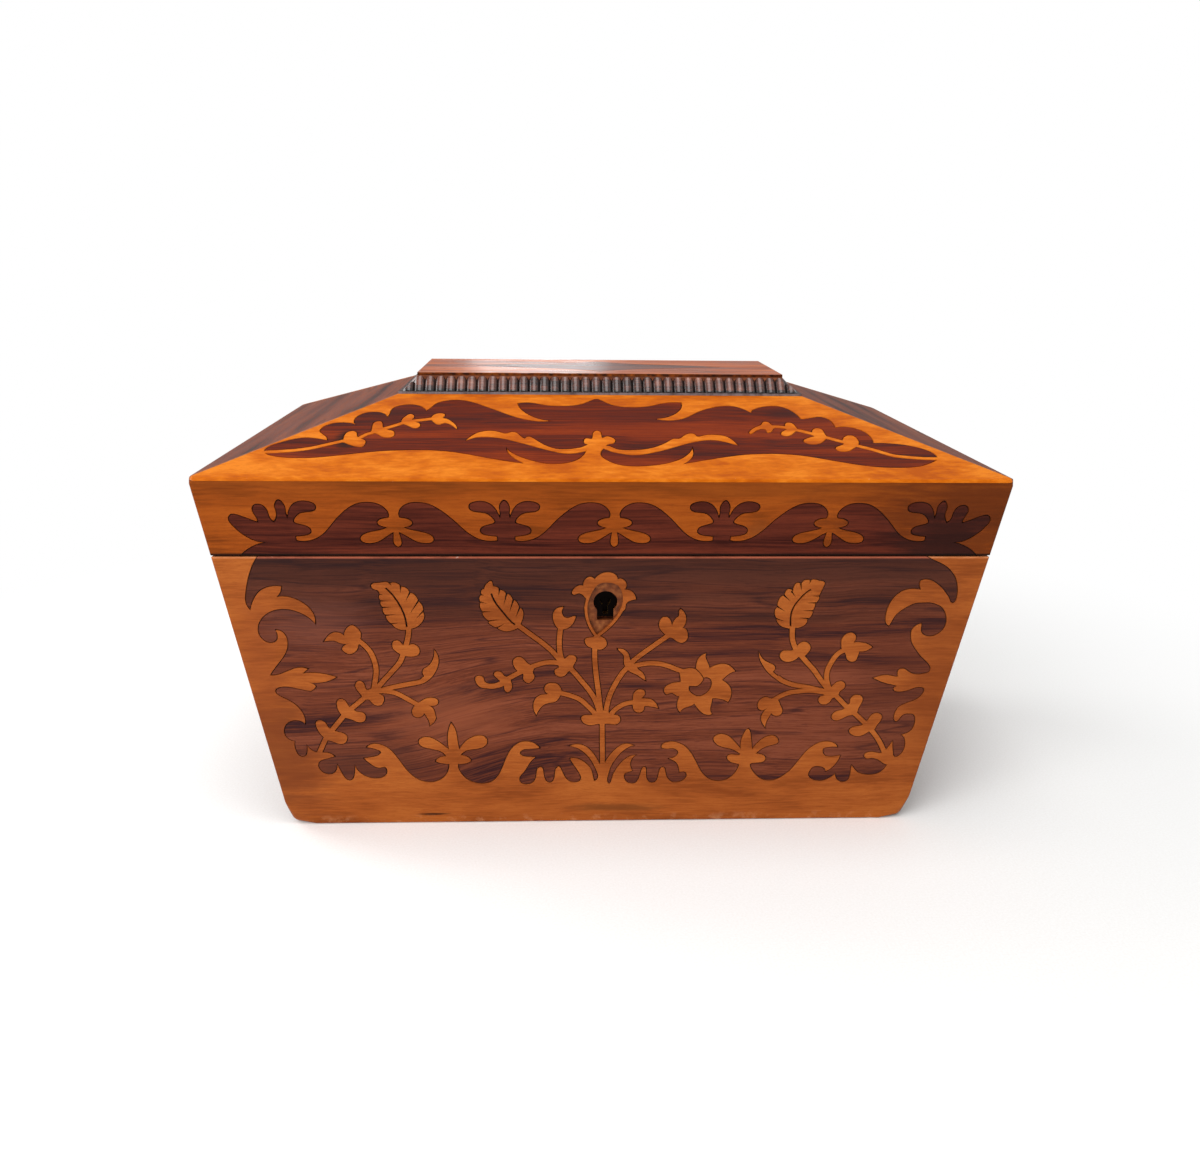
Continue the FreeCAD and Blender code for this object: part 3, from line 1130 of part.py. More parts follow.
CENTRE_SPRAY_SHARES = Motif(
    [
        [
            (0.005, 0.116), (0.001, 0.295), (-0.002, 0.425),
        ],
        [
            (-0.004, 0.412), (-0.011, 0.489), (-0.018, 0.552), (-0.024, 0.613), (-0.026, 0.692),
        ],
        [
            (-0.008, 0.412), (-0.024, 0.489), (-0.046, 0.533), (-0.061, 0.556), (-0.08, 0.586),
            (-0.099, 0.611),
        ],
        [
            (-0.108, 0.614), (-0.12, 0.648), (-0.124, 0.687), (-0.123, 0.72), (-0.119, 0.761),
        ],
        [
            (-0.108, 0.617), (-0.122, 0.635), (-0.142, 0.666), (-0.164, 0.693), (-0.195, 0.724),
            (-0.239, 0.768),
        ],
        [
            (-0.108, 0.62), (-0.15, 0.629), (-0.173, 0.625), (-0.199, 0.614), (-0.225, 0.599),
            (-0.249, 0.584), (-0.273, 0.567), (-0.29, 0.552),
        ],
        [
            (-0.011, 0.415), (-0.031, 0.446), (-0.048, 0.468), (-0.066, 0.488), (-0.097, 0.505),
            (-0.131, 0.516),
        ],
        [
            (0.007, 0.412), (0.01, 0.45), (0.017, 0.495), (0.032, 0.542), (0.051, 0.584), (0.069, 0.613),
            (0.086, 0.637), (0.113, 0.665), (0.144, 0.695), (0.179, 0.728),
        ],
        [
            (0.073, 0.608), (0.092, 0.616), (0.115, 0.622), (0.138, 0.624), (0.167, 0.619), (0.193, 0.608),
            (0.23, 0.59),
        ],
        [
            (0.024, 0.418), (0.03, 0.441), (0.045, 0.458), (0.064, 0.471), (0.102, 0.477),
        ],
    ],
    [
        [
            (-0.111, 0.827, 1), (-0.124, 0.825), (-0.136, 0.813), (-0.14, 0.794), (-0.137, 0.772),
            (-0.128, 0.754), (-0.116, 0.748), (-0.1, 0.753), (-0.088, 0.766), (-0.081, 0.782),
            (-0.078, 0.794, 1), (-0.087, 0.794), (-0.097, 0.789), (-0.109, 0.792), (-0.115, 0.804),
            (-0.115, 0.816),
        ],
        [
            (-0.128, 0.623), (-0.118, 0.64), (-0.108, 0.643), (-0.099, 0.653), (-0.087, 0.654),
            (-0.078, 0.647), (-0.08, 0.629), (-0.086, 0.614), (-0.087, 0.6), (-0.099, 0.595),
            (-0.105, 0.586), (-0.117, 0.576), (-0.131, 0.578), (-0.138, 0.589), (-0.137, 0.601),
            (-0.127, 0.609),
        ],
        [
            (-0.247, 0.645), (-0.232, 0.648), (-0.221, 0.637), (-0.212, 0.624), (-0.2, 0.615),
            (-0.197, 0.604), (-0.2, 0.593), (-0.196, 0.578), (-0.202, 0.562), (-0.213, 0.553),
            (-0.224, 0.558), (-0.228, 0.572), (-0.228, 0.587), (-0.237, 0.593), (-0.246, 0.602),
            (-0.253, 0.618), (-0.254, 0.633),
        ],
        [
            (-0.308, 0.591), (-0.297, 0.596), (-0.286, 0.589), (-0.279, 0.577), (-0.268, 0.575),
            (-0.264, 0.563), (-0.261, 0.547), (-0.264, 0.529), (-0.276, 0.518), (-0.283, 0.527),
            (-0.284, 0.544), (-0.29, 0.556), (-0.299, 0.567), (-0.307, 0.577),
        ],
        [
            (-0.364, 0.566), (-0.36, 0.577), (-0.35, 0.58), (-0.341, 0.575), (-0.339, 0.562),
            (-0.333, 0.553), (-0.319, 0.55), (-0.302, 0.554), (-0.288, 0.56), (-0.281, 0.553),
            (-0.286, 0.542), (-0.298, 0.536), (-0.313, 0.532), (-0.334, 0.533), (-0.35, 0.537),
            (-0.36, 0.549),
        ],
        [
            (-0.195, 0.431, 1), (-0.202, 0.452), (-0.202, 0.474), (-0.196, 0.492), (-0.183, 0.506),
            (-0.169, 0.509), (-0.158, 0.511, 1), (-0.167, 0.52), (-0.169, 0.534), (-0.161, 0.548),
            (-0.147, 0.552), (-0.132, 0.548), (-0.123, 0.534), (-0.12, 0.518), (-0.125, 0.502),
            (-0.131, 0.49), (-0.141, 0.48), (-0.155, 0.477), (-0.17, 0.471), (-0.182, 0.458), (-0.19, 0.444),
        ],
        [
            (-0.06, 0.425), (-0.047, 0.429), (-0.03, 0.43), (-0.017, 0.443), (-0.001, 0.447), (0.015, 0.442),
            (0.025, 0.43), (0.038, 0.429), (0.05, 0.421), (0.052, 0.408), (0.046, 0.396), (0.032, 0.392),
            (0.014, 0.395), (-0.001, 0.393), (-0.015, 0.394), (-0.033, 0.39), (-0.052, 0.395),
            (-0.062, 0.409),
        ],
        [
            (0.038, 0.677, 1), (0.05, 0.677), (0.062, 0.668), (0.07, 0.653), (0.074, 0.637), (0.086, 0.62),
            (0.097, 0.603), (0.109, 0.591), (0.117, 0.575), (0.12, 0.561, 1), (0.108, 0.569), (0.096, 0.58),
            (0.084, 0.587), (0.071, 0.596), (0.06, 0.613), (0.056, 0.631), (0.055, 0.653), (0.046, 0.665),
        ],
        [
            (0.167, 0.729), (0.157, 0.74), (0.149, 0.757), (0.149, 0.775), (0.156, 0.789), (0.168, 0.791),
            (0.178, 0.78), (0.184, 0.756, 1), (0.187, 0.774), (0.194, 0.788), (0.2, 0.794), (0.2, 0.808),
            (0.204, 0.819, 1), (0.215, 0.805), (0.221, 0.784), (0.219, 0.765), (0.212, 0.751, 1),
            (0.223, 0.747), (0.229, 0.73), (0.228, 0.71), (0.217, 0.699), (0.202, 0.703), (0.188, 0.715),
            (0.176, 0.72),
        ],
        [
            (0.087, 0.483), (0.087, 0.504), (0.092, 0.518), (0.104, 0.526), (0.117, 0.522), (0.121, 0.51),
            (0.117, 0.499), (0.111, 0.492, 1), (0.123, 0.492), (0.14, 0.488), (0.153, 0.475),
            (0.162, 0.454, 1), (0.147, 0.459), (0.132, 0.462), (0.122, 0.461), (0.12, 0.448), (0.109, 0.438),
            (0.095, 0.442), (0.088, 0.456), (0.087, 0.47),
        ],
        FLOWER_SHARES, CROWN_SHARES, CALYX_SHARES,
    ],
)

# A toothed leaf: its edge, a saw cut from each notch, given by its mouth and inner end, and one along its rib


class Leaf:
    def __init__(self, edge_shares, cut_shares, rib_shares):
        self.edge_shares = edge_shares
        self.cut_shares = cut_shares
        self.rib_shares = rib_shares

    def blade(self, panel, grow=0):
        return panel.outline(self.edge_shares, grow)

    def slits(self, panel, width):
        found = [panel.stem(self.rib_shares, width)]
        for mouth, inner in self.cut_shares:
            start = panel.point(*mouth)
            end = panel.point(*inner)
            along = (end - start).normalize()
            aside = panel.normal.cross(along) * (width / 2)
            outside = start - along * width
            found.append(Part.Face(Part.makePolygon([end, outside + aside, outside - aside, end])))
        return found


LEFT_LEAF_SHARES = Leaf(
    [
        (-0.5353, 0.749, 1), (-0.5469, 0.748), (-0.5607, 0.753), (-0.5729, 0.77, 1), (-0.5825, 0.783),
        (-0.5851, 0.796), (-0.5827, 0.8, 1), (-0.5898, 0.81), (-0.5907, 0.821), (-0.5888, 0.827, 1),
        (-0.5933, 0.837), (-0.5935, 0.845), (-0.5914, 0.85, 1), (-0.5945, 0.858), (-0.5947, 0.866),
        (-0.5918, 0.872, 1), (-0.5977, 0.888), (-0.6055, 0.891), (-0.6102, 0.9), (-0.6061, 0.909),
        (-0.5902, 0.912), (-0.5749, 0.915), (-0.5658, 0.914), (-0.561, 0.91, 1), (-0.5533, 0.913),
        (-0.5421, 0.91), (-0.5347, 0.899, 1), (-0.5251, 0.897), (-0.5177, 0.89), (-0.5141, 0.876, 1),
        (-0.5034, 0.873), (-0.4966, 0.86), (-0.494, 0.849, 1), (-0.4876, 0.839), (-0.4839, 0.824),
        (-0.486, 0.812, 1), (-0.4838, 0.796), (-0.4911, 0.777), (-0.5072, 0.759), (-0.5247, 0.753, 1),
    ],
    [
        ((-0.5729, 0.77), (-0.5522, 0.774)), ((-0.5827, 0.8), (-0.557, 0.803)),
        ((-0.5888, 0.827), (-0.5628, 0.829)), ((-0.5914, 0.85), (-0.5701, 0.85)),
        ((-0.5918, 0.872), (-0.5831, 0.872)), ((-0.561, 0.91), (-0.5569, 0.902)),
        ((-0.5347, 0.899), (-0.5373, 0.877)), ((-0.5141, 0.876), (-0.5285, 0.846)),
        ((-0.494, 0.849), (-0.5214, 0.804)), ((-0.486, 0.812), (-0.5079, 0.786)),
    ],
    [
        (-0.5343, 0.758), (-0.5347, 0.786), (-0.5383, 0.812), (-0.5448, 0.836), (-0.5519, 0.856),
        (-0.5622, 0.877), (-0.574, 0.894),
    ],
)
RIGHT_LEAF_SHARES = Leaf(
    [
        (0.525, 0.752, 1), (0.538, 0.754), (0.55, 0.765), (0.553, 0.778), (0.553, 0.784, 1), (0.56, 0.792),
        (0.563, 0.803), (0.562, 0.812, 1), (0.565, 0.823), (0.566, 0.832), (0.565, 0.84, 1), (0.571, 0.848),
        (0.573, 0.857), (0.571, 0.864, 1), (0.574, 0.876), (0.577, 0.89), (0.58, 0.904), (0.579, 0.912),
        (0.573, 0.916), (0.563, 0.917, 1), (0.555, 0.921), (0.545, 0.921), (0.541, 0.917, 1), (0.532, 0.921),
        (0.524, 0.918), (0.519, 0.909), (0.518, 0.901, 1), (0.512, 0.91), (0.505, 0.909), (0.5, 0.899),
        (0.499, 0.886), (0.498, 0.877, 1), (0.49, 0.889), (0.483, 0.886), (0.479, 0.874), (0.479, 0.865, 1),
        (0.472, 0.864), (0.466, 0.852), (0.464, 0.838), (0.466, 0.826, 1), (0.461, 0.819), (0.46, 0.805),
        (0.464, 0.792), (0.468, 0.784, 1), (0.471, 0.773), (0.481, 0.76), (0.495, 0.752), (0.511, 0.748, 1),
    ],
    [
        ((0.553, 0.784), (0.527, 0.788)), ((0.562, 0.812), (0.534, 0.813)), ((0.565, 0.84), (0.54, 0.84)),
        ((0.571, 0.864), (0.552, 0.865)), ((0.541, 0.917), (0.539, 0.905)), ((0.518, 0.901), (0.522, 0.883)),
        ((0.498, 0.877), (0.51, 0.861)), ((0.479, 0.865), (0.498, 0.846)), ((0.466, 0.826), (0.49, 0.809)),
        ((0.468, 0.784), (0.491, 0.775)),
    ],
    [
        (0.51, 0.757), (0.506, 0.784), (0.506, 0.811), (0.512, 0.835), (0.522, 0.855), (0.533, 0.873),
        (0.547, 0.887),
    ],
)
CENTRE_LEAF_SHARES = Leaf(
    [
        (-0.2339, 0.754, 1), (-0.2494, 0.746), (-0.2689, 0.742), (-0.2854, 0.749), (-0.2917, 0.755, 1),
        (-0.304, 0.762), (-0.313, 0.773), (-0.3117, 0.779, 1), (-0.3215, 0.79), (-0.3272, 0.803),
        (-0.3261, 0.811, 1), (-0.3315, 0.823), (-0.3326, 0.836), (-0.3299, 0.845, 1), (-0.3325, 0.856),
        (-0.3304, 0.865), (-0.3242, 0.87, 1), (-0.3269, 0.878), (-0.3243, 0.887), (-0.3175, 0.89, 1),
        (-0.314, 0.903), (-0.3071, 0.912), (-0.2987, 0.918), (-0.2951, 0.908), (-0.2951, 0.899, 1),
        (-0.2864, 0.898), (-0.2802, 0.893), (-0.2787, 0.886, 1), (-0.2702, 0.885), (-0.2634, 0.878),
        (-0.261, 0.871, 1), (-0.2533, 0.871), (-0.2467, 0.859), (-0.2442, 0.85, 1), (-0.2383, 0.85),
        (-0.2307, 0.834), (-0.2287, 0.823, 1), (-0.2234, 0.822), (-0.2186, 0.807), (-0.2226, 0.782),
        (-0.2293, 0.763, 1),
    ],
    [
        ((-0.2917, 0.755), (-0.27, 0.769)), ((-0.3117, 0.779), (-0.2812, 0.784)),
        ((-0.3261, 0.811), (-0.2994, 0.812)), ((-0.3299, 0.845), (-0.312, 0.84)),
        ((-0.3242, 0.87), (-0.3185, 0.867)), ((-0.2787, 0.886), (-0.2817, 0.865)),
        ((-0.261, 0.871), (-0.2698, 0.833)), ((-0.2442, 0.85), (-0.2562, 0.807)),
        ((-0.2287, 0.823), (-0.2396, 0.791)),
    ],
    [
        (-0.2425, 0.765), (-0.2595, 0.786), (-0.2749, 0.813), (-0.2869, 0.834), (-0.2952, 0.854),
        (-0.3005, 0.875),
    ],
)
sprays_shares = [LEFT_SPRAY_SHARES, CENTRE_SPRAY_SHARES, RIGHT_SPRAY_SHARES]
leaves = [LEFT_LEAF_SHARES, CENTRE_LEAF_SHARES, RIGHT_LEAF_SHARES]


def front_sprays(grow=0):
    found = [front.outline(RECESS_SHARES, size("bell_edge_width") + grow)]
    for spray in sprays_shares:
        found += spray.faces(front, size("stem_width"), grow)
    return joined(found + [leaf.blade(front, grow) for leaf in leaves])


border_shares = LEFT_BORDER_SHARES + RIGHT_BORDER_SHARES + EDGE_SHARES[2:3] + EDGE_SHARES[1::-1]
border_shares += EDGE_SHARES[3:]
recess = front.outline(RECESS_SHARES)
border = front.outline(border_shares)
cuts = [cut for leaf in leaves for cut in leaf.slits(front, size("leaf_cut_width"))]
cuts.append(front.stem(FLOWER_CUT_SHARES, kerf))
eye = front.outline(FLOWER_EYE_SHARES)
sprays = front_sprays().cut([border, recess, eye] + cuts)
field = front.outline(EDGE_SHARES).cut([front.outline(border_shares, kerf), front_sprays(kerf), recess])
eye_inlay = front.outline(FLOWER_EYE_SHARES, -kerf)
veneer("front_satinwood_border", front, [border])
veneer("front_satinwood_sprays", front, sprays.Faces)
veneer("front_rosewood_field", front, field.Faces + [eye_inlay])

# Front band of the lid: satinwood above, rosewood crowns and waves below. The line between the two is given
# from the middle of a hanging palmette to the middle of the next crown, and from an end crown to the lower
# edge.

BAND_SHARES = [
    (0, 0.112), (0.01, 0.15), (0.0115, 0.22), (0.009, 0.305, 1),
    (0.028, 0.245), (0.048, 0.185), (0.07, 0.163), (0.09, 0.19), (0.092, 0.255), (0.075, 0.318),
    (0.045, 0.355),
    (0.026, 0.39, 1), (0.044, 0.43), (0.043, 0.478), (0.016, 0.525, 1),
    (0.014, 0.58), (0.022, 0.65), (0.04, 0.705), (0.062, 0.718), (0.085, 0.7), (0.108, 0.64), (0.13, 0.55),
    (0.15, 0.45), (0.168, 0.35), (0.188, 0.265), (0.21, 0.212), (0.232, 0.193), (0.252, 0.205, 1),
    (0.251, 0.272, 1), (0.228, 0.285), (0.212, 0.32), (0.212, 0.37), (0.228, 0.415), (0.248, 0.455),
    (0.243, 0.52), (0.228, 0.582), (0.208, 0.6), (0.19, 0.63), (0.188, 0.685), (0.2, 0.725), (0.22, 0.733),
    (0.24, 0.69), (0.252, 0.61), (0.26, 0.51, 1), (0.262, 0.6), (0.262, 0.68),
]
BAND_PERIOD_SHARE = 0.545
PALMETTE_SHARES = (-0.525, 0.02, 0.565)
CROWN_TOP_SHARE = 0.745
BAND_END_SHARES = [
    (-0.0105, 0.68), (-0.0105, 0.6), (-0.022, 0.45, 1), (-0.032, 0.53), (-0.034, 0.62), (-0.045, 0.685),
    (-0.06, 0.68), (-0.067, 0.62), (-0.062, 0.53), (-0.061, 0.45, 1), (-0.085, 0.5), (-0.107, 0.548),
    (-0.122, 0.553), (-0.13, 0.5), (-0.125, 0.42), (-0.11, 0.32), (-0.085, 0.225), (-0.052, 0.185, 1),
    (-0.08, 0.145), (-0.105, 0.08), (-0.125, 0, 1),
]


def moved_shares(shares, across):
    return [(share[0] + across, *share[1:]) for share in shares]


def band_line():
    first_crown = PALMETTE_SHARES[0] - BAND_PERIOD_SHARE / 2
    last_crown = PALMETTE_SHARES[-1] + BAND_PERIOD_SHARE / 2
    line = moved_shares(BAND_END_SHARES[::-1], first_crown)
    for palmette in PALMETTE_SHARES:
        line.append((palmette - BAND_PERIOD_SHARE / 2, CROWN_TOP_SHARE))
        line += moved_shares(mirrored_shares(BAND_SHARES[1:]), palmette)
        line += moved_shares(BAND_SHARES, palmette)
    line.append((last_crown, CROWN_TOP_SHARE))
    return line + moved_shares(mirrored_shares(BAND_END_SHARES[::-1]), last_crown)


band_shares = band_line()
band_rosewood = band.outline(band_shares)
band_satinwood = band.outline(EDGE_SHARES).cut(band.outline(band_shares, kerf))
veneer("band_rosewood", band, [band_rosewood])
veneer("band_satinwood", band, band_satinwood.Faces)

# Front slope of the lid: a rosewood cartouche in a satinwood ground, with sprigs from each end and a scroll
# of two arms about a small flower

CARTOUCHE_SHARES = [
    (-0.058, 0.311), (-0.068, 0.249), (-0.085, 0.202), (-0.11, 0.173), (-0.15, 0.164), (-0.19, 0.189),
    (-0.24, 0.244), (-0.273, 0.296), (-0.297, 0.353, 1), (-0.284, 0.296), (-0.263, 0.241),
    (-0.222, 0.169, 1), (-0.27, 0.194), (-0.341, 0.237), (-0.421, 0.285), (-0.501, 0.311), (-0.582, 0.312),
    (-0.662, 0.294), (-0.742, 0.251), (-0.811, 0.221), (-0.872, 0.223), (-0.922, 0.244), (-0.964, 0.282),
    (-0.988, 0.342), (-0.983, 0.399), (-0.959, 0.444), (-0.919, 0.444), (-0.856, 0.415, 1), (-0.904, 0.479),
    (-0.95, 0.529), (-0.972, 0.586), (-0.961, 0.624), (-0.921, 0.627), (-0.873, 0.602, 1), (-0.911, 0.648),
    (-0.939, 0.705), (-0.938, 0.754), (-0.898, 0.762), (-0.859, 0.739), (-0.82, 0.693, 1), (-0.841, 0.747),
    (-0.87, 0.804), (-0.864, 0.851), (-0.818, 0.859), (-0.767, 0.832), (-0.718, 0.778, 1), (-0.723, 0.835),
    (-0.73, 0.877), (-0.708, 0.913), (-0.658, 0.923), (-0.586, 0.897), (-0.505, 0.842), (-0.424, 0.78),
    (-0.343, 0.711), (-0.262, 0.661), (-0.188, 0.662, 1), (-0.247, 0.693), (-0.302, 0.752), (-0.348, 0.825),
    (-0.374, 0.884, 1), (-0.313, 0.889), (-0.253, 0.863), (-0.192, 0.851), (-0.131, 0.858), (-0.086, 0.882),
    (-0.051, 0.925), (-0.025, 0.946), (-0.002, 0.925), (0.035, 0.877), (0.081, 0.845), (0.141, 0.839),
    (0.202, 0.853), (0.273, 0.892), (0.359, 0.906, 1), (0.338, 0.84), (0.303, 0.778), (0.257, 0.726),
    (0.194, 0.693, 1), (0.252, 0.674), (0.312, 0.7), (0.383, 0.773), (0.444, 0.823), (0.505, 0.854),
    (0.556, 0.866), (0.591, 0.845), (0.607, 0.773, 1), (0.646, 0.82), (0.707, 0.856), (0.773, 0.866),
    (0.794, 0.83), (0.785, 0.762), (0.763, 0.698, 1), (0.816, 0.716), (0.859, 0.728), (0.871, 0.705),
    (0.856, 0.654), (0.827, 0.594, 1), (0.865, 0.607), (0.892, 0.593), (0.899, 0.55), (0.879, 0.482),
    (0.845, 0.413, 1), (0.893, 0.409), (0.938, 0.386), (0.961, 0.332), (0.952, 0.278), (0.927, 0.23),
    (0.881, 0.185), (0.831, 0.148), (0.771, 0.135), (0.711, 0.145), (0.651, 0.187), (0.591, 0.244),
    (0.531, 0.278), (0.461, 0.286), (0.391, 0.272), (0.301, 0.228), (0.208, 0.169, 1), (0.237, 0.223),
    (0.253, 0.28), (0.265, 0.365, 1), (0.244, 0.301), (0.215, 0.239), (0.18, 0.192), (0.14, 0.159),
    (0.09, 0.142), (0.045, 0.148), (0.012, 0.187), (-0.012, 0.249), (-0.026, 0.311), (-0.03, 0.373, 1),
    (-0.055, 0.373, 1),
]
SPRIG_SHARES = Motif(
    [
        [
            (-0.988, 0.278), (-0.929, 0.29), (-0.885, 0.308), (-0.855, 0.335), (-0.832, 0.375),
            (-0.803, 0.42),
        ],
        [
            (-0.784, 0.429), (-0.776, 0.461), (-0.777, 0.479), (-0.763, 0.52),
        ],
        [
            (-0.765, 0.548), (-0.749, 0.572), (-0.735, 0.606), (-0.72, 0.641),
        ],
        [
            (-0.715, 0.652), (-0.69, 0.662), (-0.666, 0.672), (-0.637, 0.693),
        ],
        [
            (0.604, 0.607), (0.629, 0.605), (0.659, 0.59),
        ],
        [
            (0.667, 0.574), (0.689, 0.548), (0.715, 0.5),
        ],
        [
            (0.723, 0.487), (0.741, 0.457), (0.765, 0.405),
        ],
        [
            (0.772, 0.393), (0.79, 0.359), (0.803, 0.334), (0.811, 0.308), (0.823, 0.271), (0.846, 0.255),
            (0.881, 0.241), (0.953, 0.236),
        ],
    ],
    [
        [
            (-0.808, 0.409), (-0.834, 0.465), (-0.85, 0.513), (-0.844, 0.528), (-0.822, 0.512),
            (-0.793, 0.465), (-0.766, 0.437), (-0.747, 0.421), (-0.727, 0.381), (-0.722, 0.347),
            (-0.739, 0.35), (-0.763, 0.367), (-0.784, 0.385),
        ],
        [
            (-0.78, 0.525), (-0.813, 0.594), (-0.828, 0.639), (-0.817, 0.646), (-0.792, 0.618),
            (-0.767, 0.576), (-0.732, 0.544), (-0.711, 0.531), (-0.688, 0.494), (-0.681, 0.463),
            (-0.695, 0.456), (-0.719, 0.471), (-0.749, 0.501),
        ],
        [
            (-0.729, 0.628), (-0.752, 0.675), (-0.76, 0.713), (-0.757, 0.738), (-0.736, 0.723),
            (-0.718, 0.685), (-0.713, 0.662), (-0.691, 0.643), (-0.669, 0.629), (-0.649, 0.597),
            (-0.649, 0.57), (-0.673, 0.582), (-0.701, 0.607),
        ],
        [
            (-0.652, 0.689), (-0.661, 0.734), (-0.649, 0.749), (-0.625, 0.74), (-0.614, 0.713),
            (-0.611, 0.694), (-0.593, 0.683), (-0.564, 0.655), (-0.532, 0.613), (-0.505, 0.557, 1),
            (-0.533, 0.597), (-0.56, 0.626), (-0.579, 0.633), (-0.586, 0.616), (-0.601, 0.621),
            (-0.628, 0.653),
        ],
        [
            (0.495, 0.534), (0.527, 0.581), (0.554, 0.608), (0.578, 0.63), (0.596, 0.658), (0.611, 0.665),
            (0.617, 0.649), (0.615, 0.62), (0.624, 0.615), (0.614, 0.597), (0.597, 0.578), (0.57, 0.539),
            (0.559, 0.535), (0.567, 0.573), (0.555, 0.578), (0.534, 0.563), (0.508, 0.532), (0.494, 0.518),
        ],
        [
            (0.652, 0.601), (0.673, 0.642), (0.692, 0.656), (0.7, 0.645), (0.691, 0.606), (0.68, 0.575),
            (0.661, 0.549), (0.637, 0.519), (0.615, 0.498), (0.599, 0.496), (0.596, 0.513), (0.609, 0.538),
            (0.642, 0.57, 1),
        ],
        [
            (0.707, 0.526), (0.74, 0.577), (0.761, 0.588), (0.765, 0.569), (0.748, 0.523), (0.733, 0.483),
            (0.705, 0.443), (0.68, 0.413), (0.658, 0.399), (0.638, 0.401), (0.631, 0.416), (0.636, 0.438),
            (0.659, 0.464), (0.698, 0.491, 1),
        ],
        [
            (0.756, 0.427), (0.783, 0.471), (0.813, 0.499), (0.829, 0.497), (0.824, 0.467), (0.805, 0.423),
            (0.78, 0.384), (0.749, 0.35), (0.722, 0.322), (0.702, 0.315), (0.691, 0.325), (0.696, 0.351),
            (0.716, 0.373), (0.749, 0.403, 1),
        ],
        [
            (-0.434, 0.426, 1), (-0.431, 0.478), (-0.417, 0.521), (-0.385, 0.538), (-0.352, 0.522),
            (-0.326, 0.506), (-0.313, 0.523), (-0.296, 0.518), (-0.273, 0.476), (-0.254, 0.446, 1),
            (-0.245, 0.471), (-0.228, 0.45), (-0.202, 0.403), (-0.176, 0.362), (-0.15, 0.334),
            (-0.12, 0.325), (-0.092, 0.334), (-0.066, 0.357), (-0.042, 0.388), (-0.028, 0.349),
            (-0.044, 0.323), (-0.06, 0.307), (-0.082, 0.287), (-0.107, 0.279), (-0.134, 0.289),
            (-0.164, 0.314), (-0.198, 0.344), (-0.235, 0.38), (-0.272, 0.41), (-0.311, 0.441),
            (-0.35, 0.462), (-0.383, 0.468), (-0.41, 0.464), (-0.425, 0.445),
        ],
        [
            (-0.033, 0.178), (-0.028, 0.267), (-0.036, 0.333), (-0.045, 0.378), (-0.06, 0.394),
            (-0.066, 0.429), (-0.058, 0.453), (-0.044, 0.448), (-0.039, 0.485), (-0.036, 0.525),
            (-0.025, 0.545), (-0.019, 0.54), (-0.011, 0.497), (-0.007, 0.461), (0.006, 0.476), (0.02, 0.468),
            (0.032, 0.431), (0.023, 0.396), (0.007, 0.385), (0, 0.359), (-0.011, 0.319), (-0.013, 0.245),
            (-0.011, 0.183),
        ],
        [
            (0.407, 0.384, 1), (0.407, 0.443), (0.396, 0.487), (0.366, 0.502), (0.33, 0.494), (0.304, 0.48),
            (0.3, 0.51), (0.282, 0.513), (0.256, 0.479), (0.238, 0.452), (0.221, 0.451), (0.198, 0.418),
            (0.172, 0.38), (0.146, 0.35), (0.116, 0.328), (0.085, 0.318), (0.056, 0.318), (0.029, 0.335),
            (0.005, 0.367), (-0.015, 0.351), (-0.001, 0.332), (0.017, 0.304), (0.043, 0.281), (0.071, 0.267),
            (0.101, 0.271), (0.134, 0.292), (0.17, 0.321), (0.208, 0.357), (0.249, 0.395), (0.286, 0.423),
            (0.323, 0.44), (0.355, 0.44), (0.38, 0.421), (0.394, 0.4),
        ],
    ],
)


def slope_sprigs(grow=0):
    return joined(SPRIG_SHARES.faces(lid_front, size("slope_stem_width"), grow))


ground = lid_front.outline(EDGE_SHARES).cut(lid_front.outline(CARTOUCHE_SHARES, kerf))
cartouche = lid_front.outline(CARTOUCHE_SHARES).cut(slope_sprigs(kerf))
veneer("slope_satinwood", lid_front, joined(ground.Faces + slope_sprigs().Faces).Faces)
veneer("slope_rosewood_cartouche", lid_front, cartouche.Faces)

# Plateau: a rosewood figure with four cusps in a satinwood ground

FIGURE_SHARES = [
    (-0.7, 0.5, 1), (-0.42, 0.62), (-0.2, 0.7), (0, 0.86, 1), (0.2, 0.7), (0.42, 0.62),
    (0.7, 0.5, 1), (0.42, 0.38), (0.2, 0.3), (0, 0.14, 1), (-0.2, 0.3), (-0.42, 0.38),
]
plateau_ground = plateau.outline(EDGE_SHARES).cut(plateau.outline(FIGURE_SHARES, kerf))
veneer("plateau_satinwood", plateau, plateau_ground.Faces)
veneer("plateau_rosewood_figure", plateau, [plateau.outline(FIGURE_SHARES)])

# Check every object, then write each piece

doc.recompute()
failed = [item.Name for item in doc.Objects if "Invalid" in item.State or "Error" in item.State]
if failed:
    raise RuntimeError(f"not built: {failed}")
for label, item in pieces.items():
    if item.Shape.isNull() or not item.Shape.isValid():
        raise RuntimeError(f"{label} has no valid shape")
os.makedirs("parts", exist_ok=True)
for label, item in pieces.items():
    item.Shape.exportStep(f"parts/{label}.step")
print(len(pieces), "pieces")
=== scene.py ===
import json
import math

import bpy
from mathutils import Matrix, Vector

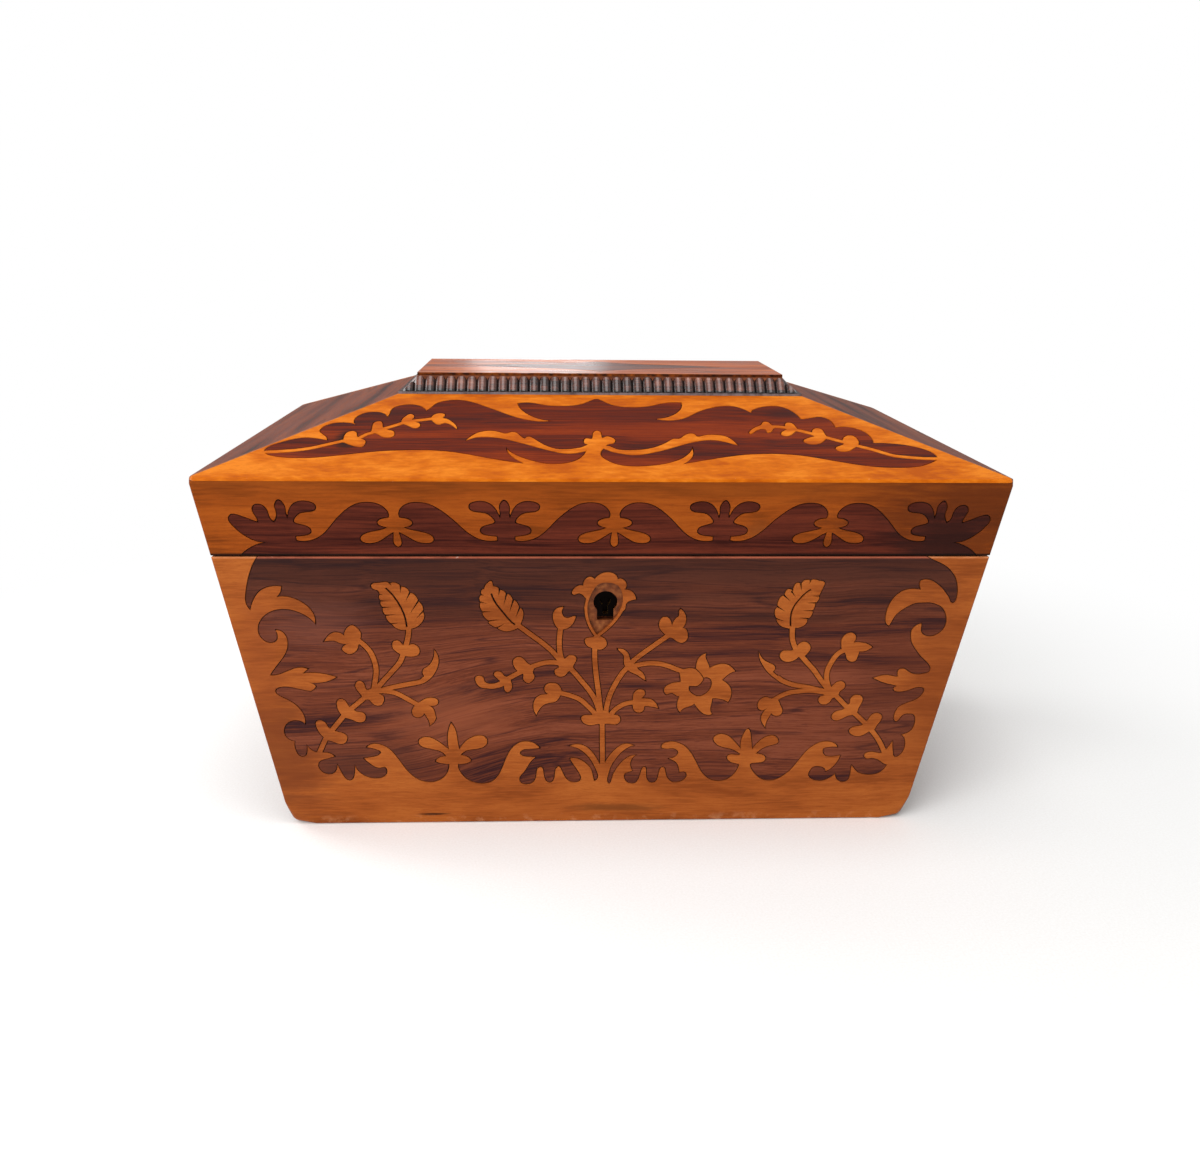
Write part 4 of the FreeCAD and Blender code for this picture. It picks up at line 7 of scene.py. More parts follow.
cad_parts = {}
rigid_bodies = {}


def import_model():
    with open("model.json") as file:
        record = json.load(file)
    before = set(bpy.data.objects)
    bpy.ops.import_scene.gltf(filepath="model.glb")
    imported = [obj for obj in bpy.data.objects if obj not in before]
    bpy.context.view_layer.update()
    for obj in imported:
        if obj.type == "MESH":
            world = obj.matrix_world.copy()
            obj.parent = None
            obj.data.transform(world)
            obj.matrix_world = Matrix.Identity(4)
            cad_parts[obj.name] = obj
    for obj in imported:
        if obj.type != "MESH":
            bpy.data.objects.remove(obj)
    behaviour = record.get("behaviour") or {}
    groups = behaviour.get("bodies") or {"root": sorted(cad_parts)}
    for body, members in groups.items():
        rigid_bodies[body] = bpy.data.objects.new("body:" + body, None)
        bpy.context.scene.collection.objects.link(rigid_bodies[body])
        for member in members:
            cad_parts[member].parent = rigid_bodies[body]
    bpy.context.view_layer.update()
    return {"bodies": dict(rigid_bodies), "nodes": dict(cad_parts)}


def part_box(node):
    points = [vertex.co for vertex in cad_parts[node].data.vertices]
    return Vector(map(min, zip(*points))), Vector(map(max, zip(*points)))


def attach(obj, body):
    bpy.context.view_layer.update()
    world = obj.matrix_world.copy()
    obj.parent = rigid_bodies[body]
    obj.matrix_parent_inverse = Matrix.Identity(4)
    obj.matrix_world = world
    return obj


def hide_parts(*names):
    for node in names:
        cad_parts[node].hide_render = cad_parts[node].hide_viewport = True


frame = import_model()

bl_info = {
    "name": "Sarcophagus box",
    "version": (1, 0, 0),
    "blender": (4, 5, 0),
    "location": "View3D > Sidebar > Sarcophagus Box",
    "description": "Dresses the marquetry sarcophagus box: veneers, moulding, fittings and studio stage",
    "category": "Object",
}

MM = 0.001
PHOTO_WIDTH = 1200
RIM_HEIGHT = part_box("front_rosewood_field")[1].z
LID_FOOT_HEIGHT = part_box("band_rosewood")[0].z
LID_EDGE_LOW, SLOPE_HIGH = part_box("slope_satinwood")
FILLET_LOW, FILLET_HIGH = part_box("moulding_fillet")
UP, DOWN, TO_FRONT = (0, 0, 1), (0, 0, -1), (0, -1, 0)
SLOPE_FACING = (0, -0.36, 0.93)
SAME_WAY = 0.9

# Bare wood round the keyhole: its middle and half size along X and Z, in millimetres
RECESS_CENTRE, RECESS_SIZE = (1.6, 105), (11, 14)

# How the worn copies are planed, and the steps from one face to the next
MERGE_DISTANCE = 0.001 * MM
LEAST_CUT = 0.002 * MM
CUT_TOLERANCE = 0.0005 * MM
FLAT_ANGLE = math.radians(0.1)
SMOOTH_ANGLE = math.radians(25)
ARRIS_STEPS, HIP_STEPS, RIM_STEPS = 4, 3, 3
BASE_CORNER_STEPS, LID_CORNER_STEPS = 8, 5

# Velvet pad: how far in each step lies from the one before, in millimetres, and its share of the crown
PAD_STEPS = ((1.5, 0.2), (4.0, 0.35), (8.0, 0.3), (12.0, 0.15))
PAD_EDGE = 0.6 * MM
PAD_SMOOTH_ANGLE = math.radians(50)

# Camera of the photograph, with its focal length in pixels
FOCAL_PIXELS = 1091.6
CAMERA_PLACE = (-20.85 * MM, -513.05 * MM, 246.22 * MM)
PITCH, YAW, ROLL = math.radians(16.716), math.radians(2.536), math.radians(0.677)
SENSOR_WIDTH = 36.0

# Studio lamps: name, watts, size, place and aim, in metres
LAMPS = (
    ("key_left", 20.0, 1.1, (-0.9, -1.25, 0.95), (0, -0.05, 0.08)),
    ("fill_right", 3.5, 1.2, (1.3, -1.2, 0.7), (0, -0.05, 0.08)),
    ("overhead", 10.0, 0.9, (0.05, -0.35, 1.45), (0, 0, 0.17)),
    ("window_behind", 1.3, 0.24, (-0.05, 1.6, 0.36), (0, 0, 0.19)),
    ("window_left", 6.0, 0.6, (-0.98, 0.42, 0.7), (0, 0, 0.19)),
)
FLOOR_SIZE, FLOOR_DROP = 8, 0.2 * MM
ROOM_LIGHT = 0.34


def linear(code):
    """A colour written as an sRGB hex value, turned to the linear values that Blender's sockets take."""
    parts = [int(code[place:place + 2], 16) / 255 for place in (0, 2, 4)]
    curved = [part / 12.92 if part <= 0.04045 else ((part + 0.055) / 1.055) ** 2.4 for part in parts]
    return (*curved, 1.0)


class BoxSizes(bpy.types.PropertyGroup):
    """Sizes of the outer form and of its wear."""
    base_half_width: bpy.props.FloatProperty(
        name="Base half width", description="Half the width of the body at the floor",
        default=137 * MM, unit="LENGTH")
    base_half_depth: bpy.props.FloatProperty(
        name="Base half depth", description="Half the depth of the body at the floor",
        default=77 * MM, unit="LENGTH")
    edge_half_width: bpy.props.FloatProperty(
        name="Lid edge half width", description="Half the width at the lid's widest edge",
        default=SLOPE_HIGH.x, unit="LENGTH")
    edge_half_depth: bpy.props.FloatProperty(
        name="Lid edge half depth", description="Half the depth at the lid's widest edge",
        default=-LID_EDGE_LOW.y, unit="LENGTH")
    edge_height: bpy.props.FloatProperty(
        name="Lid edge height", description="Height of the lid's widest edge",
        default=160.5 * MM, unit="LENGTH")
    foot_half_width: bpy.props.FloatProperty(
        name="Moulding foot half width", description="Half the width where the slopes meet the moulding",
        default=FILLET_HIGH.x, unit="LENGTH")
    foot_half_depth: bpy.props.FloatProperty(
        name="Moulding foot half depth", description="Half the depth where the slopes meet the moulding",
        default=FILLET_HIGH.y, unit="LENGTH")
    foot_height: bpy.props.FloatProperty(
        name="Moulding foot height", description="Height where the slopes meet the moulding",
        default=FILLET_LOW.z, unit="LENGTH")
    arris_wear: bpy.props.FloatProperty(
        name="Arris wear", description="Radius that handling has given the outer edges",
        default=0.9 * MM, unit="LENGTH")
    rim_wear: bpy.props.FloatProperty(
        name="Rim wear", description="Radius worn on the edges either side of the seam",
        default=0.6 * MM, unit="LENGTH")
    base_corner_wear: bpy.props.FloatProperty(
        name="Base corner wear", description="Radius worn on the four corners that stand on the floor",
        default=5 * MM, unit="LENGTH")
    lid_corner_wear: bpy.props.FloatProperty(
        name="Lid corner wear", description="Radius worn on the four corners of the lid's edge",
        default=2 * MM, unit="LENGTH")
    lining_crown: bpy.props.FloatProperty(
        name="Lining crown", description="How far the velvet pad swells at its middle",
        default=1.2 * MM, unit="LENGTH")


class BoxColours(bpy.types.PropertyGroup):
    """Main tone of each finish."""
    front_rosewood: bpy.props.FloatVectorProperty(
        name="Front rosewood", description="Middle tone of the rosewood field on the front",
        default=linear("64311f"), size=4, subtype="COLOR")
    front_satinwood: bpy.props.FloatVectorProperty(
        name="Front satinwood", description="Middle tone of the border and sprays on the front",
        default=linear("9a5020"), size=4, subtype="COLOR")
    band_rosewood: bpy.props.FloatVectorProperty(
        name="Band rosewood", description="Middle tone of the rosewood on the lid's band",
        default=linear("522115"), size=4, subtype="COLOR")
    band_satinwood: bpy.props.FloatVectorProperty(
        name="Band satinwood", description="Middle tone of the satinwood on the lid's band",
        default=linear("8a400e"), size=4, subtype="COLOR")
    slope_rosewood: bpy.props.FloatVectorProperty(
        name="Slope rosewood", description="Middle tone of the cartouche on the lid's slope",
        default=linear("601d05"), size=4, subtype="COLOR")
    slope_satinwood: bpy.props.FloatVectorProperty(
        name="Slope satinwood", description="Middle tone of the satinwood on the lid's slope",
        default=linear("be600a"), size=4, subtype="COLOR")
    plain_rosewood: bpy.props.FloatVectorProperty(
        name="Plain rosewood", description="Middle tone of the rosewood on the ends and back",
        default=linear("5e2f20"), size=4, subtype="COLOR")
    moulding_rosewood: bpy.props.FloatVectorProperty(
        name="Moulding rosewood", description="Middle tone of the reeded moulding",
        default=linear("613528"), size=4, subtype="COLOR")
    mahogany: bpy.props.FloatVectorProperty(
        name="Mahogany", description="Middle tone of the carcass and the fitted inside",
        default=linear("7d4428"), size=4, subtype="COLOR")
    brass: bpy.props.FloatVectorProperty(
        name="Brass", description="Colour of the hinges, lock and screws",
        default=linear("b08d4f"), size=4, subtype="COLOR")
    velvet: bpy.props.FloatVectorProperty(
        name="Velvet", description="Colour of the lid's lining",
        default=linear("571a20"), size=4, subtype="COLOR")


def add(tree, kind, sockets=None, stops=None, **settings):
    """Adds one node, sets its properties, fills or links its sockets and gives it back."""
    node = tree.nodes.new(kind)
    for key, value in settings.items():
        setattr(node, key, value)
    for key, value in (sockets or {}).items():
        if isinstance(value, bpy.types.NodeSocket):
            tree.links.new(value, node.inputs[key])
        else:
            node.inputs[key].default_value = value
    if stops:
        while len(node.color_ramp.elements) < len(stops):
            node.color_ramp.elements.new(0.5)
        for element, (place, colour) in zip(node.color_ramp.elements, stops):
            element.position = place
            element.color = colour
    return node


def blend(tree, share, under, over):
    """A colour with a share of another over it."""
    return add(tree, "ShaderNodeMix", {0: share, 6: under, 7: over}, data_type="RGBA").outputs[2]


def calc(tree, operation, *values):
    """One sum on up to three values."""
    return add(tree, "ShaderNodeMath", dict(enumerate(values)), operation=operation).outputs[0]


def ranged(tree, value, source=(0.0, 1.0), target=(0.0, 1.0), kind="LINEAR"):
    """A value carried from one range to another and held inside it."""
    return add(tree, "ShaderNodeMapRange", {
        "Value": value, "From Min": source[0], "From Max": source[1],
        "To Min": target[0], "To Max": target[1]}, interpolation_type=kind).outputs[0]


def noise(tree, place, size, detail, roughness=0.5):
    """A cloudy pattern with clouds of the given size."""
    return add(tree, "ShaderNodeTexNoise", {
        "Vector": place, "Scale": 1 / size, "Detail": detail, "Roughness": roughness}).outputs["Fac"]


def fibres(tree, path, long, wide, detail, roughness=0.5):
    """A cloudy pattern drawn out along X, as grain and file marks are."""
    drawn_out = add(tree, "ShaderNodeMapping", {
        "Vector": path, "Scale": (1 / long, 1 / wide, 1 / wide)}).outputs[0]
    return noise(tree, drawn_out, 1.0, detail, roughness)


def turned_to(tree, direction):
    """How squarely a face looks in a direction, from -1 to 1."""
    facing = add(tree, "ShaderNodeTexCoord").outputs["Normal"]
    return add(tree, "ShaderNodeVectorMath", {
        0: facing, 1: direction}, operation="DOT_PRODUCT").outputs["Value"]


def from_spot(tree, place, centre, size):
    """Distance from the middle of an oval seen from the front, 1 at its edge. Millimetres along X and Z."""
    local = add(tree, "ShaderNodeMapping", {
        "Vector": place, "Location": (-centre[0] / size[0], 0.0, -centre[1] / size[1]),
        "Scale": (1 / MM / size[0], 0.0, 1 / MM / size[1])}).outputs[0]
    return add(tree, "ShaderNodeVectorMath", {0: local}, operation="LENGTH").outputs["Value"]


def new_tree(name):
    """A material of that name with an empty node tree."""
    material = bpy.data.materials.new(name)
    material.use_nodes = True
    material.node_tree.nodes.clear()
    return material, material.node_tree


GRAIN_TURNS = {"x": (0, 0, 0), "y": (0, 0, math.radians(-90)), "z": (0, math.radians(90), 0)}
GRAIN_LINES = {"x": (1, 0, 0), "y": (0, 1, 0)}


def polished_wood(
        name, tones, along, figure, streak, pore, drift, gloss, lines=0.0, flecks=0.35, shine=0.15, bend=None,
        marks=()):
    """Wood under old polish. Sizes are millimetres: figure is the length and width of the growth bands and
    the number of dark lines that follow each, streak and pore are the length and width of the fine grain and
    of the open pores, and drift is how far the grain wanders."""
    material, tree = new_tree(name)
    place = add(tree, "ShaderNodeTexCoord").outputs["Object"]
    grain = add(tree, "ShaderNodeMapping", {
        "Vector": place, "Rotation": GRAIN_TURNS[along], "Scale": (1 / MM, 1 / MM, 1 / MM),
        "Location": (-drift / 2, -drift / 2, -drift / 2)}).outputs[0]
    wander = add(tree, "ShaderNodeTexNoise", {
        "Vector": grain, "Scale": 1 / 55, "Detail": 2.0, "Roughness": 0.4}).outputs["Color"]
    path = add(tree, "ShaderNodeVectorMath", {
        0: wander, 1: (drift, drift, drift), 2: grain}, operation="MULTIPLY_ADD").outputs[0]
    if bend:
        path = bend(tree, path)
    length, width, rings = figure
    layers = []
    for long, wide, detail in ((length, width, 1.5), (*streak, 4.0), (*pore, 2.0)):
        layers.append(fibres(tree, path, long, wide, detail, 0.55))
    bands, streaks, pores = layers
    mixed = calc(tree, "MULTIPLY_ADD", streaks, 0.8, bands)
    spread = ranged(tree, mixed, (0.62, 1.18))
    colour = add(tree, "ShaderNodeValToRGB", {"Fac": spread}, stops=tones).outputs["Color"]
    if rings:
        growth = calc(tree, "MULTIPLY", bands, rings * 2.0)
        growth = calc(tree, "PINGPONG", growth, 1.0)
        edged = calc(tree, "MULTIPLY_ADD", streaks, 0.5, growth)
        line = ranged(tree, edged, (0.24, 0.46), (lines, 0.0))
        colour = blend(tree, line, colour, tones[0][1])
    open_pores = ranged(tree, pores, (0.36, 0.44), (flecks, 0.0))
    colour = blend(tree, open_pores, colour, tones[0][1])
    for mark in marks:
        colour = mark(tree, place, path, colour)
    roughness = ranged(tree, streaks, (0.3, 0.7), gloss)
    relief = add(tree, "ShaderNodeBump", {
        "Height": pores, "Strength": 0.12, "Distance": 0.1 * MM}).outputs[0]
    shader = add(tree, "ShaderNodeBsdfPrincipled", {
        "Base Color": colour, "Roughness": roughness, "Normal": relief, "IOR": 1.5,
        "Specular IOR Level": shine}).outputs[0]
    add(tree, "ShaderNodeOutputMaterial", {"Surface": shader})
    return material


def rising_grain(left, right, low, high, lift):
    """A bend for polished_wood: grain that climbs by lift between left and right below a height, in
    millimetres."""
    def bend(tree, path):
        parts = add(tree, "ShaderNodeSeparateXYZ", {0: path})
        across = ranged(tree, parts.outputs["X"], (left, right), kind="SMOOTHSTEP")
        fading = ranged(tree, parts.outputs["Z"], (low, high), (-lift, 0.0), "SMOOTHSTEP")
        climb = calc(tree, "MULTIPLY", across, fading)
        shift = add(tree, "ShaderNodeCombineXYZ", {"Z": climb}).outputs[0]
        return add(tree, "ShaderNodeVectorMath", {0: path, 1: shift}, operation="ADD").outputs[0]
    return bend


def height_shade(low, high, amount, tone, waver=9.0):
    """A mark: the wood changes tone towards a height, in millimetres, in bands along its own grain."""
    def mark(tree, place, path, colour):
        height = add(tree, "ShaderNodeSeparateXYZ", {0: path}).outputs["Z"]
        bands = fibres(tree, path, 90, 6, 4.0)
        ragged = calc(tree, "MULTIPLY_ADD", bands, waver * 4, height)
        share = ranged(
            tree, ragged, (low + waver * 2, high + waver * 2), (0.0, amount), "SMOOTHSTEP")
        return blend(tree, share, colour, tone)
    return mark


def wear_and_shade_line(facing, edge, inner, outer, amount, tone, patch, spots):
    """A mark: another tone along an edge, used for wear and for painted shade. facing is the direction, in
    absolute coordinates, in which the edge lies, and edge is its place along it. The mark starts inner
    millimetres in from the edge and is full outer millimetres in. It shows in patches of the given size,
    where a cloudy pattern passes from the first to the second value of spots."""
    def mark(tree, place, path, colour):
        folded = add(tree, "ShaderNodeVectorMath", {0: place}, operation="ABSOLUTE").outputs[0]
        reach = add(tree, "ShaderNodeVectorMath", {
            0: folded, 1: tuple(part / MM for part in facing)}, operation="DOT_PRODUCT").outputs["Value"]
        patches = noise(tree, place, patch * MM, 5.0, 0.7)
        near = ranged(tree, reach, (edge - inner, edge - outer))
        uneven = ranged(tree, patches, spots, (0.0, amount))
        share = calc(tree, "MULTIPLY", near, uneven)
        return blend(tree, share, colour, tone)
    return mark


def stain(centre, size, amount, tone):
    """A mark: a dark or pale patch, ragged along the grain. centre and size are millimetres along X and Z."""
    def mark(tree, place, path, colour):
        ragged = fibres(tree, path, 22, 3, 4.0, 0.65)
        reach = calc(tree, "MULTIPLY_ADD", ragged, 1.4, from_spot(tree, place, centre, size))
        share = ranged(tree, reach, (0.9, 1.7), (amount, 0.0), "SMOOTHSTEP")
        return blend(tree, share, colour, tone)
    return mark


def glue_face(outward, bare_centre=None, bare_size=None, bare=None):
    """A mark for a board under marquetry: old dark glue on the face that looks outward, so that the saw lines
    between the veneers read dark, and bare wood inside one oval where nothing covers it."""
    def mark(tree, place, path, colour):
        turned = turned_to(tree, outward)
        glued = calc(tree, "GREATER_THAN", turned, SAME_WAY)
        colour = blend(tree, glued, colour, linear("190d0a"))
        if bare:
            inside = calc(tree, "LESS_THAN", from_spot(tree, place, bare_centre, bare_size), 1.0)
            tufts = noise(tree, place, 2.4 * MM, 5.0)
            torn = add(tree, "ShaderNodeValToRGB", {"Fac": tufts}, stops=(
                (0.3, linear("4a2614")), (0.5, bare), (0.72, linear("8a5028")))).outputs["Color"]
            colour = blend(tree, inside, colour, torn)
        return colour
    return mark


def dusty_edge(dust):
    """A mark: dust or old wax on the faces that don't look up or down."""
    def mark(tree, place, path, colour):
        upright = turned_to(tree, UP)
        level = calc(tree, "ABSOLUTE", upright)
        drifts = noise(tree, place, 3 * MM, 4.0)
        thick = ranged(tree, drifts, (0.3, 0.6), (0.35, 0.95))
        share = ranged(tree, level, (0.3, 0.7), (thick, 0.0))
        return blend(tree, share, colour, dust)
    return mark


def painted_hollow_shade(lengthwise, shade_tone):
    """A mark for reeds: painted shade on their flanks, which face along the moulding's length, darkening them
    towards the hollows.
    """
    def mark(tree, place, path, colour):
        turned = turned_to(tree, lengthwise)
        sideways = calc(tree, "ABSOLUTE", turned)
        share = ranged(tree, sideways, (0.35, 0.8), (0.0, 0.95))
        return blend(tree, share, colour, shade_tone)
    return mark


def three_tones(dark, middle, light):
    """Ramp stops from a dark line tone through the middle tone to a light one."""
    return ((0.1, linear(dark)), (0.5, tuple(middle)), (0.92, linear(light)))


def rim_wear_marks(tone):
    """Marks for the body's front veneers: the upper arris rubbed by the lid, with a few pale chips."""
    return (
        wear_and_shade_line(UP, RIM_HEIGHT / MM, 0.9, 0.4, 0.85, linear(tone), 20.0, (0.2, 0.5)),
        wear_and_shade_line(UP, RIM_HEIGHT / MM, 0.8, 0.3, 0.9, linear("ecd8c6"), 5.0, (0.66, 0.7)),
    )


SOFT_SHINE, DULL_SHINE = 0.05, 0.025
# Painted shade: a near-black line along the lid's lower edge, standing in for the shade of the seam between
# lid and body.
PAINTED_SEAM_SHADE = wear_and_shade_line(DOWN, -LID_FOOT_HEIGHT / MM, 1.2, 0.5, 0.95, linear("120906"), 20.0, (0.0, 0.2))


def front_rosewood(colours):
    # Rosewood, knife-cut veneer under French polish: red-brown with thin near-black lines that climb to the
    # right in the lower half, and a broad grey-black heart streak under the seam.
    return polished_wood(
        "rosewood_front_field", three_tones("33191a", colours.front_rosewood, "7a402b"), "x",
        figure=(150, 9, 5), streak=(42, 0.6), pore=(5, 0.3), drift=6, gloss=(0.42, 0.54), lines=0.7,
        flecks=0.35, shine=SOFT_SHINE, bend=rising_grain(-100, -10, 70, 104, 20),
        marks=(
            height_shade(84, 124, 0.72, linear("2c1a17"), 11.0),
            stain((-66, 56), (46, 20), 0.6, linear("8a4a30")),
            stain((-118, 98), (30, 18), 0.4, linear("704236")),
            stain((-104, 30), (44, 18), 0.45, linear("48281f")),
            stain((128, 60), (34, 60), 0.35, linear("4a241a")),
        ) + rim_wear_marks("a85a42"))


def front_satinwood(colours):
    # Satinwood, sawn veneer gone orange under old polish: silky, with short dark pore flecks along the grain,
    # dirt ground into its lower edge and one corner, and pale scuffs where the box is set down.
    return polished_wood(
        "satinwood_front", three_tones("824018", colours.front_satinwood, "a85c26"), "x",
        figure=(40, 12, 0), streak=(12, 0.9), pore=(3, 0.3), drift=6, gloss=(0.38, 0.5), flecks=0.4,
        shine=SOFT_SHINE, marks=(
            stain((-138, 38), (32, 46), 0.7, linear("6a3319")),
            stain((-142, 84), (12, 48), 0.4, linear("87421f")),
            stain((142, 70), (22, 76), 0.5, linear("743616")),
            stain((6, 7), (30, 3.5), 0.6, linear("5a3216")),
            stain((-74, 4.6), (10, 0.9), 0.9, linear("26140c")),
            wear_and_shade_line(DOWN, 0, 5.0, 0.5, 0.4, linear("d09468"), 7.0, (0.52, 0.64)),
        ) + rim_wear_marks("c87c4e"))


def band_rosewood(colours):
    # Rosewood, a deeper and more even cut than the front's: wine-brown with close straight lines, and a
    # near-black painted shade along the seam.
    return polished_wood(
        "rosewood_band", three_tones("300f0a", colours.band_rosewood, "622919"), "x",
        figure=(150, 8, 2), streak=(50, 0.8), pore=(5, 0.3), drift=4, gloss=(0.38, 0.5), lines=0.45,
        flecks=0.3, shine=SOFT_SHINE, marks=(
            stain((142, 136), (46, 22), 0.85, linear("26110e")),
            PAINTED_SEAM_SHADE,
        ))


def band_satinwood(colours):
    # Satinwood, darkened by handling of the lid: amber-brown, fine and nearly plain, browner along the top
    # and at the right end, with a near-black painted shade along the seam.
    return polished_wood(
        "satinwood_band", three_tones("6e3208", colours.band_satinwood, "984a12"), "x",
        figure=(60, 9, 0), streak=(16, 0.9), pore=(3, 0.3), drift=5, gloss=(0.38, 0.48), flecks=0.35,
        shine=SOFT_SHINE, marks=(
            height_shade(150, 160, 0.4, linear("6e370f"), 3.0),
            stain((156, 147), (92, 36), 0.75, linear("4f210b")),
            stain((60, 139), (7, 6), 0.5, linear("6e3a18")),
            PAINTED_SEAM_SHADE,
        ))


def slope_rosewood(colours):
    # Rosewood, faded to a warm red-brown where daylight falls on the lid: hair-fine grain and ink stains.
    return polished_wood(
        "rosewood_slope", three_tones("36100a", colours.slope_rosewood, "7c2c08"), "x",
        figure=(120, 9, 2), streak=(45, 0.7), pore=(5, 0.3), drift=5, gloss=(0.36, 0.46), lines=0.35,
        flecks=0.3, shine=SOFT_SHINE, marks=(
            stain((-104, 171), (6, 3.5), 0.9, linear("170c08")),
            stain((-99, 165.5), (4, 2.0), 0.8, linear("170c08")),
        ))


def slope_satinwood(colours):
    # Satinwood, bleached to bright gold on the lid's slope: a silky mottle with small darker eyes and rubbed
    # corners.
    return polished_wood(
        "satinwood_slope", three_tones("a64c06", colours.slope_satinwood, "d2761c"), "x",
        figure=(22, 10, 0), streak=(6, 1.8), pore=(2.5, 0.4), drift=8, gloss=(0.36, 0.46), flecks=0.3,
        shine=SOFT_SHINE, marks=(
            wear_and_shade_line((0, 1, 0), -LID_EDGE_LOW.y / MM, 1.0, 0.3, 0.5, linear("f2d2ac"), 4.0, (0.66, 0.74)),
            wear_and_shade_line((1, 0, 0), SLOPE_HIGH.x / MM, 3, 0.5, 0.6, linear("f3d0a4"), 4.0, (0.52, 0.64)),
        ))


def plateau_satinwood():
    # Satinwood on the flat top, worn coppery and dull by what has stood on it.
    return polished_wood(
        "satinwood_plateau", three_tones("5c280c", linear("984510"), "b05c20"), "x",
        figure=(60, 7, 0), streak=(30, 1.2), pore=(5, 0.5), drift=6, gloss=(0.24, 0.5), flecks=0.3,
        shine=DULL_SHINE, marks=(dusty_edge(linear("24120c")),))


def plateau_rosewood():
    # Rosewood figure on the flat top, faded close to the satinwood round it.
    return polished_wood(
        "rosewood_plateau", three_tones("2a120a", linear("562412"), "74381c"), "x",
        figure=(60, 6, 2), streak=(30, 1.0), pore=(5, 0.4), drift=6, gloss=(0.24, 0.5), lines=0.4, flecks=0.3,
        shine=DULL_SHINE)


def plain_rosewood(colours, along, marks=()):
    # Rosewood on the ends and back, one plain leaf to a face: straight dark streaks, polish dulled by dust.
    return polished_wood(
        "rosewood_plain_" + along, three_tones("2a140e", colours.plain_rosewood, "784029"), along,
        figure=(190, 12, 3), streak=(60, 0.9), pore=(6, 0.35), drift=8, gloss=(0.52, 0.66), lines=0.6,
        flecks=0.35, shine=SOFT_SHINE, marks=marks)


def moulding_rosewood(colours, along):
    # Rosewood worked into reeds and filled with polish: brown on the crown of each reed, bright where the
    # lamps reflect on its flank, with painted shade darkening the flanks towards the hollows and a near-black
    # painted shadow along the foot.
    return polished_wood(
        "rosewood_reeded_" + along, three_tones("2a140e", colours.moulding_rosewood, "85503c"), along,
        figure=(30, 5, 0), streak=(16, 0.8), pore=(4, 0.3), drift=3, gloss=(0.12, 0.2), flecks=0.3,
        shine=0.45, marks=(
            # Painted shade: the reeds' flanks darken to near-black towards the hollows between them.
            painted_hollow_shade(GRAIN_LINES[along], linear("0d0706")),
            # Painted shadow: the lowest millimetre of the reeds is near-black where they meet the fillet.
            wear_and_shade_line(DOWN, -FILLET_HIGH.z / MM, 1.2, 0.6, 0.95, linear("0a0605"), 20.0, (0.0, 0.2)),
        ))


def dust_and_shadow_fillet():
    # Rosewood fillet in near-black tones, painted as the shadow under the reeds, whose upright edge is grey
    # with dust.
    return polished_wood(
        "rosewood_fillet", three_tones("150b08", linear("24130e"), "3a221a"), "x",
        figure=(30, 5, 0), streak=(16, 0.8), pore=(4, 0.3), drift=3, gloss=(0.5, 0.65), flecks=0.3,
        marks=(dusty_edge(linear("776e70")),))


def turned_rosewood():
    # Rosewood turned between centres: even dark rings and a hand-rubbed gloss.
    return polished_wood(
        "rosewood_turned", three_tones("220f0a", linear("53291c"), "7d4630"), "z",
        figure=(40, 5, 2), streak=(18, 0.7), pore=(4, 0.3), drift=2, gloss=(0.22, 0.32), lines=0.4, shine=0.4)


def carcass_mahogany(colours, along, name="mahogany_carcass_", marks=()):
    # Mahogany, planed and oiled but not polished: straight brown-red grain with long open pores.
    return polished_wood(
        name + along, three_tones("51280f", colours.mahogany, "9c5f3c"), along,
        figure=(180, 14, 2), streak=(60, 1.4), pore=(9, 0.4), drift=8, gloss=(0.5, 0.65), lines=0.25,
        flecks=0.5, marks=marks)


def cast_brass(colours, name="brass_aged", painted_dark_facing=None):
    # Brass, cast and filed, gone dull with age: warm yellow with brown tarnish in soft clouds and fine
    # scratches. The lock's own plate, seen only through the keyhole, has its outer face painted black as the
    # shade inside the keyhole.
    material, tree = new_tree(name)
    place = add(tree, "ShaderNodeTexCoord").outputs["Object"]
    clouds = noise(tree, place, 7 * MM, 5.0)
    tarnish_and_shade = add(tree, "ShaderNodeValToRGB", {"Fac": clouds}, stops=(
        (0.3, linear("6b4a22")), (0.5, tuple(colours.brass)), (0.75, linear("cfae6c")))).outputs["Color"]
    # Painted shade: the face turned that way is painted near-black, standing in for the dark inside the
    # keyhole.
    if painted_dark_facing:
        turned = turned_to(tree, painted_dark_facing)
        painted_dark = calc(tree, "GREATER_THAN", turned, SAME_WAY)
        tarnish_and_shade = blend(tree, painted_dark, tarnish_and_shade, linear("0b0706"))
    scratches = fibres(tree, place, 6 * MM, 0.3 * MM, 3.0)
    roughness = ranged(tree, scratches, (0.3, 0.7), (0.26, 0.46))
    relief = add(tree, "ShaderNodeBump", {
        "Height": scratches, "Strength": 0.1, "Distance": 0.05 * MM}).outputs[0]
    shader = add(tree, "ShaderNodeBsdfPrincipled", {
        "Base Color": tarnish_and_shade, "Metallic": 1.0, "Roughness": roughness, "Normal": relief}).outputs[0]
    add(tree, "ShaderNodeOutputMaterial", {"Surface": shader})
    return material


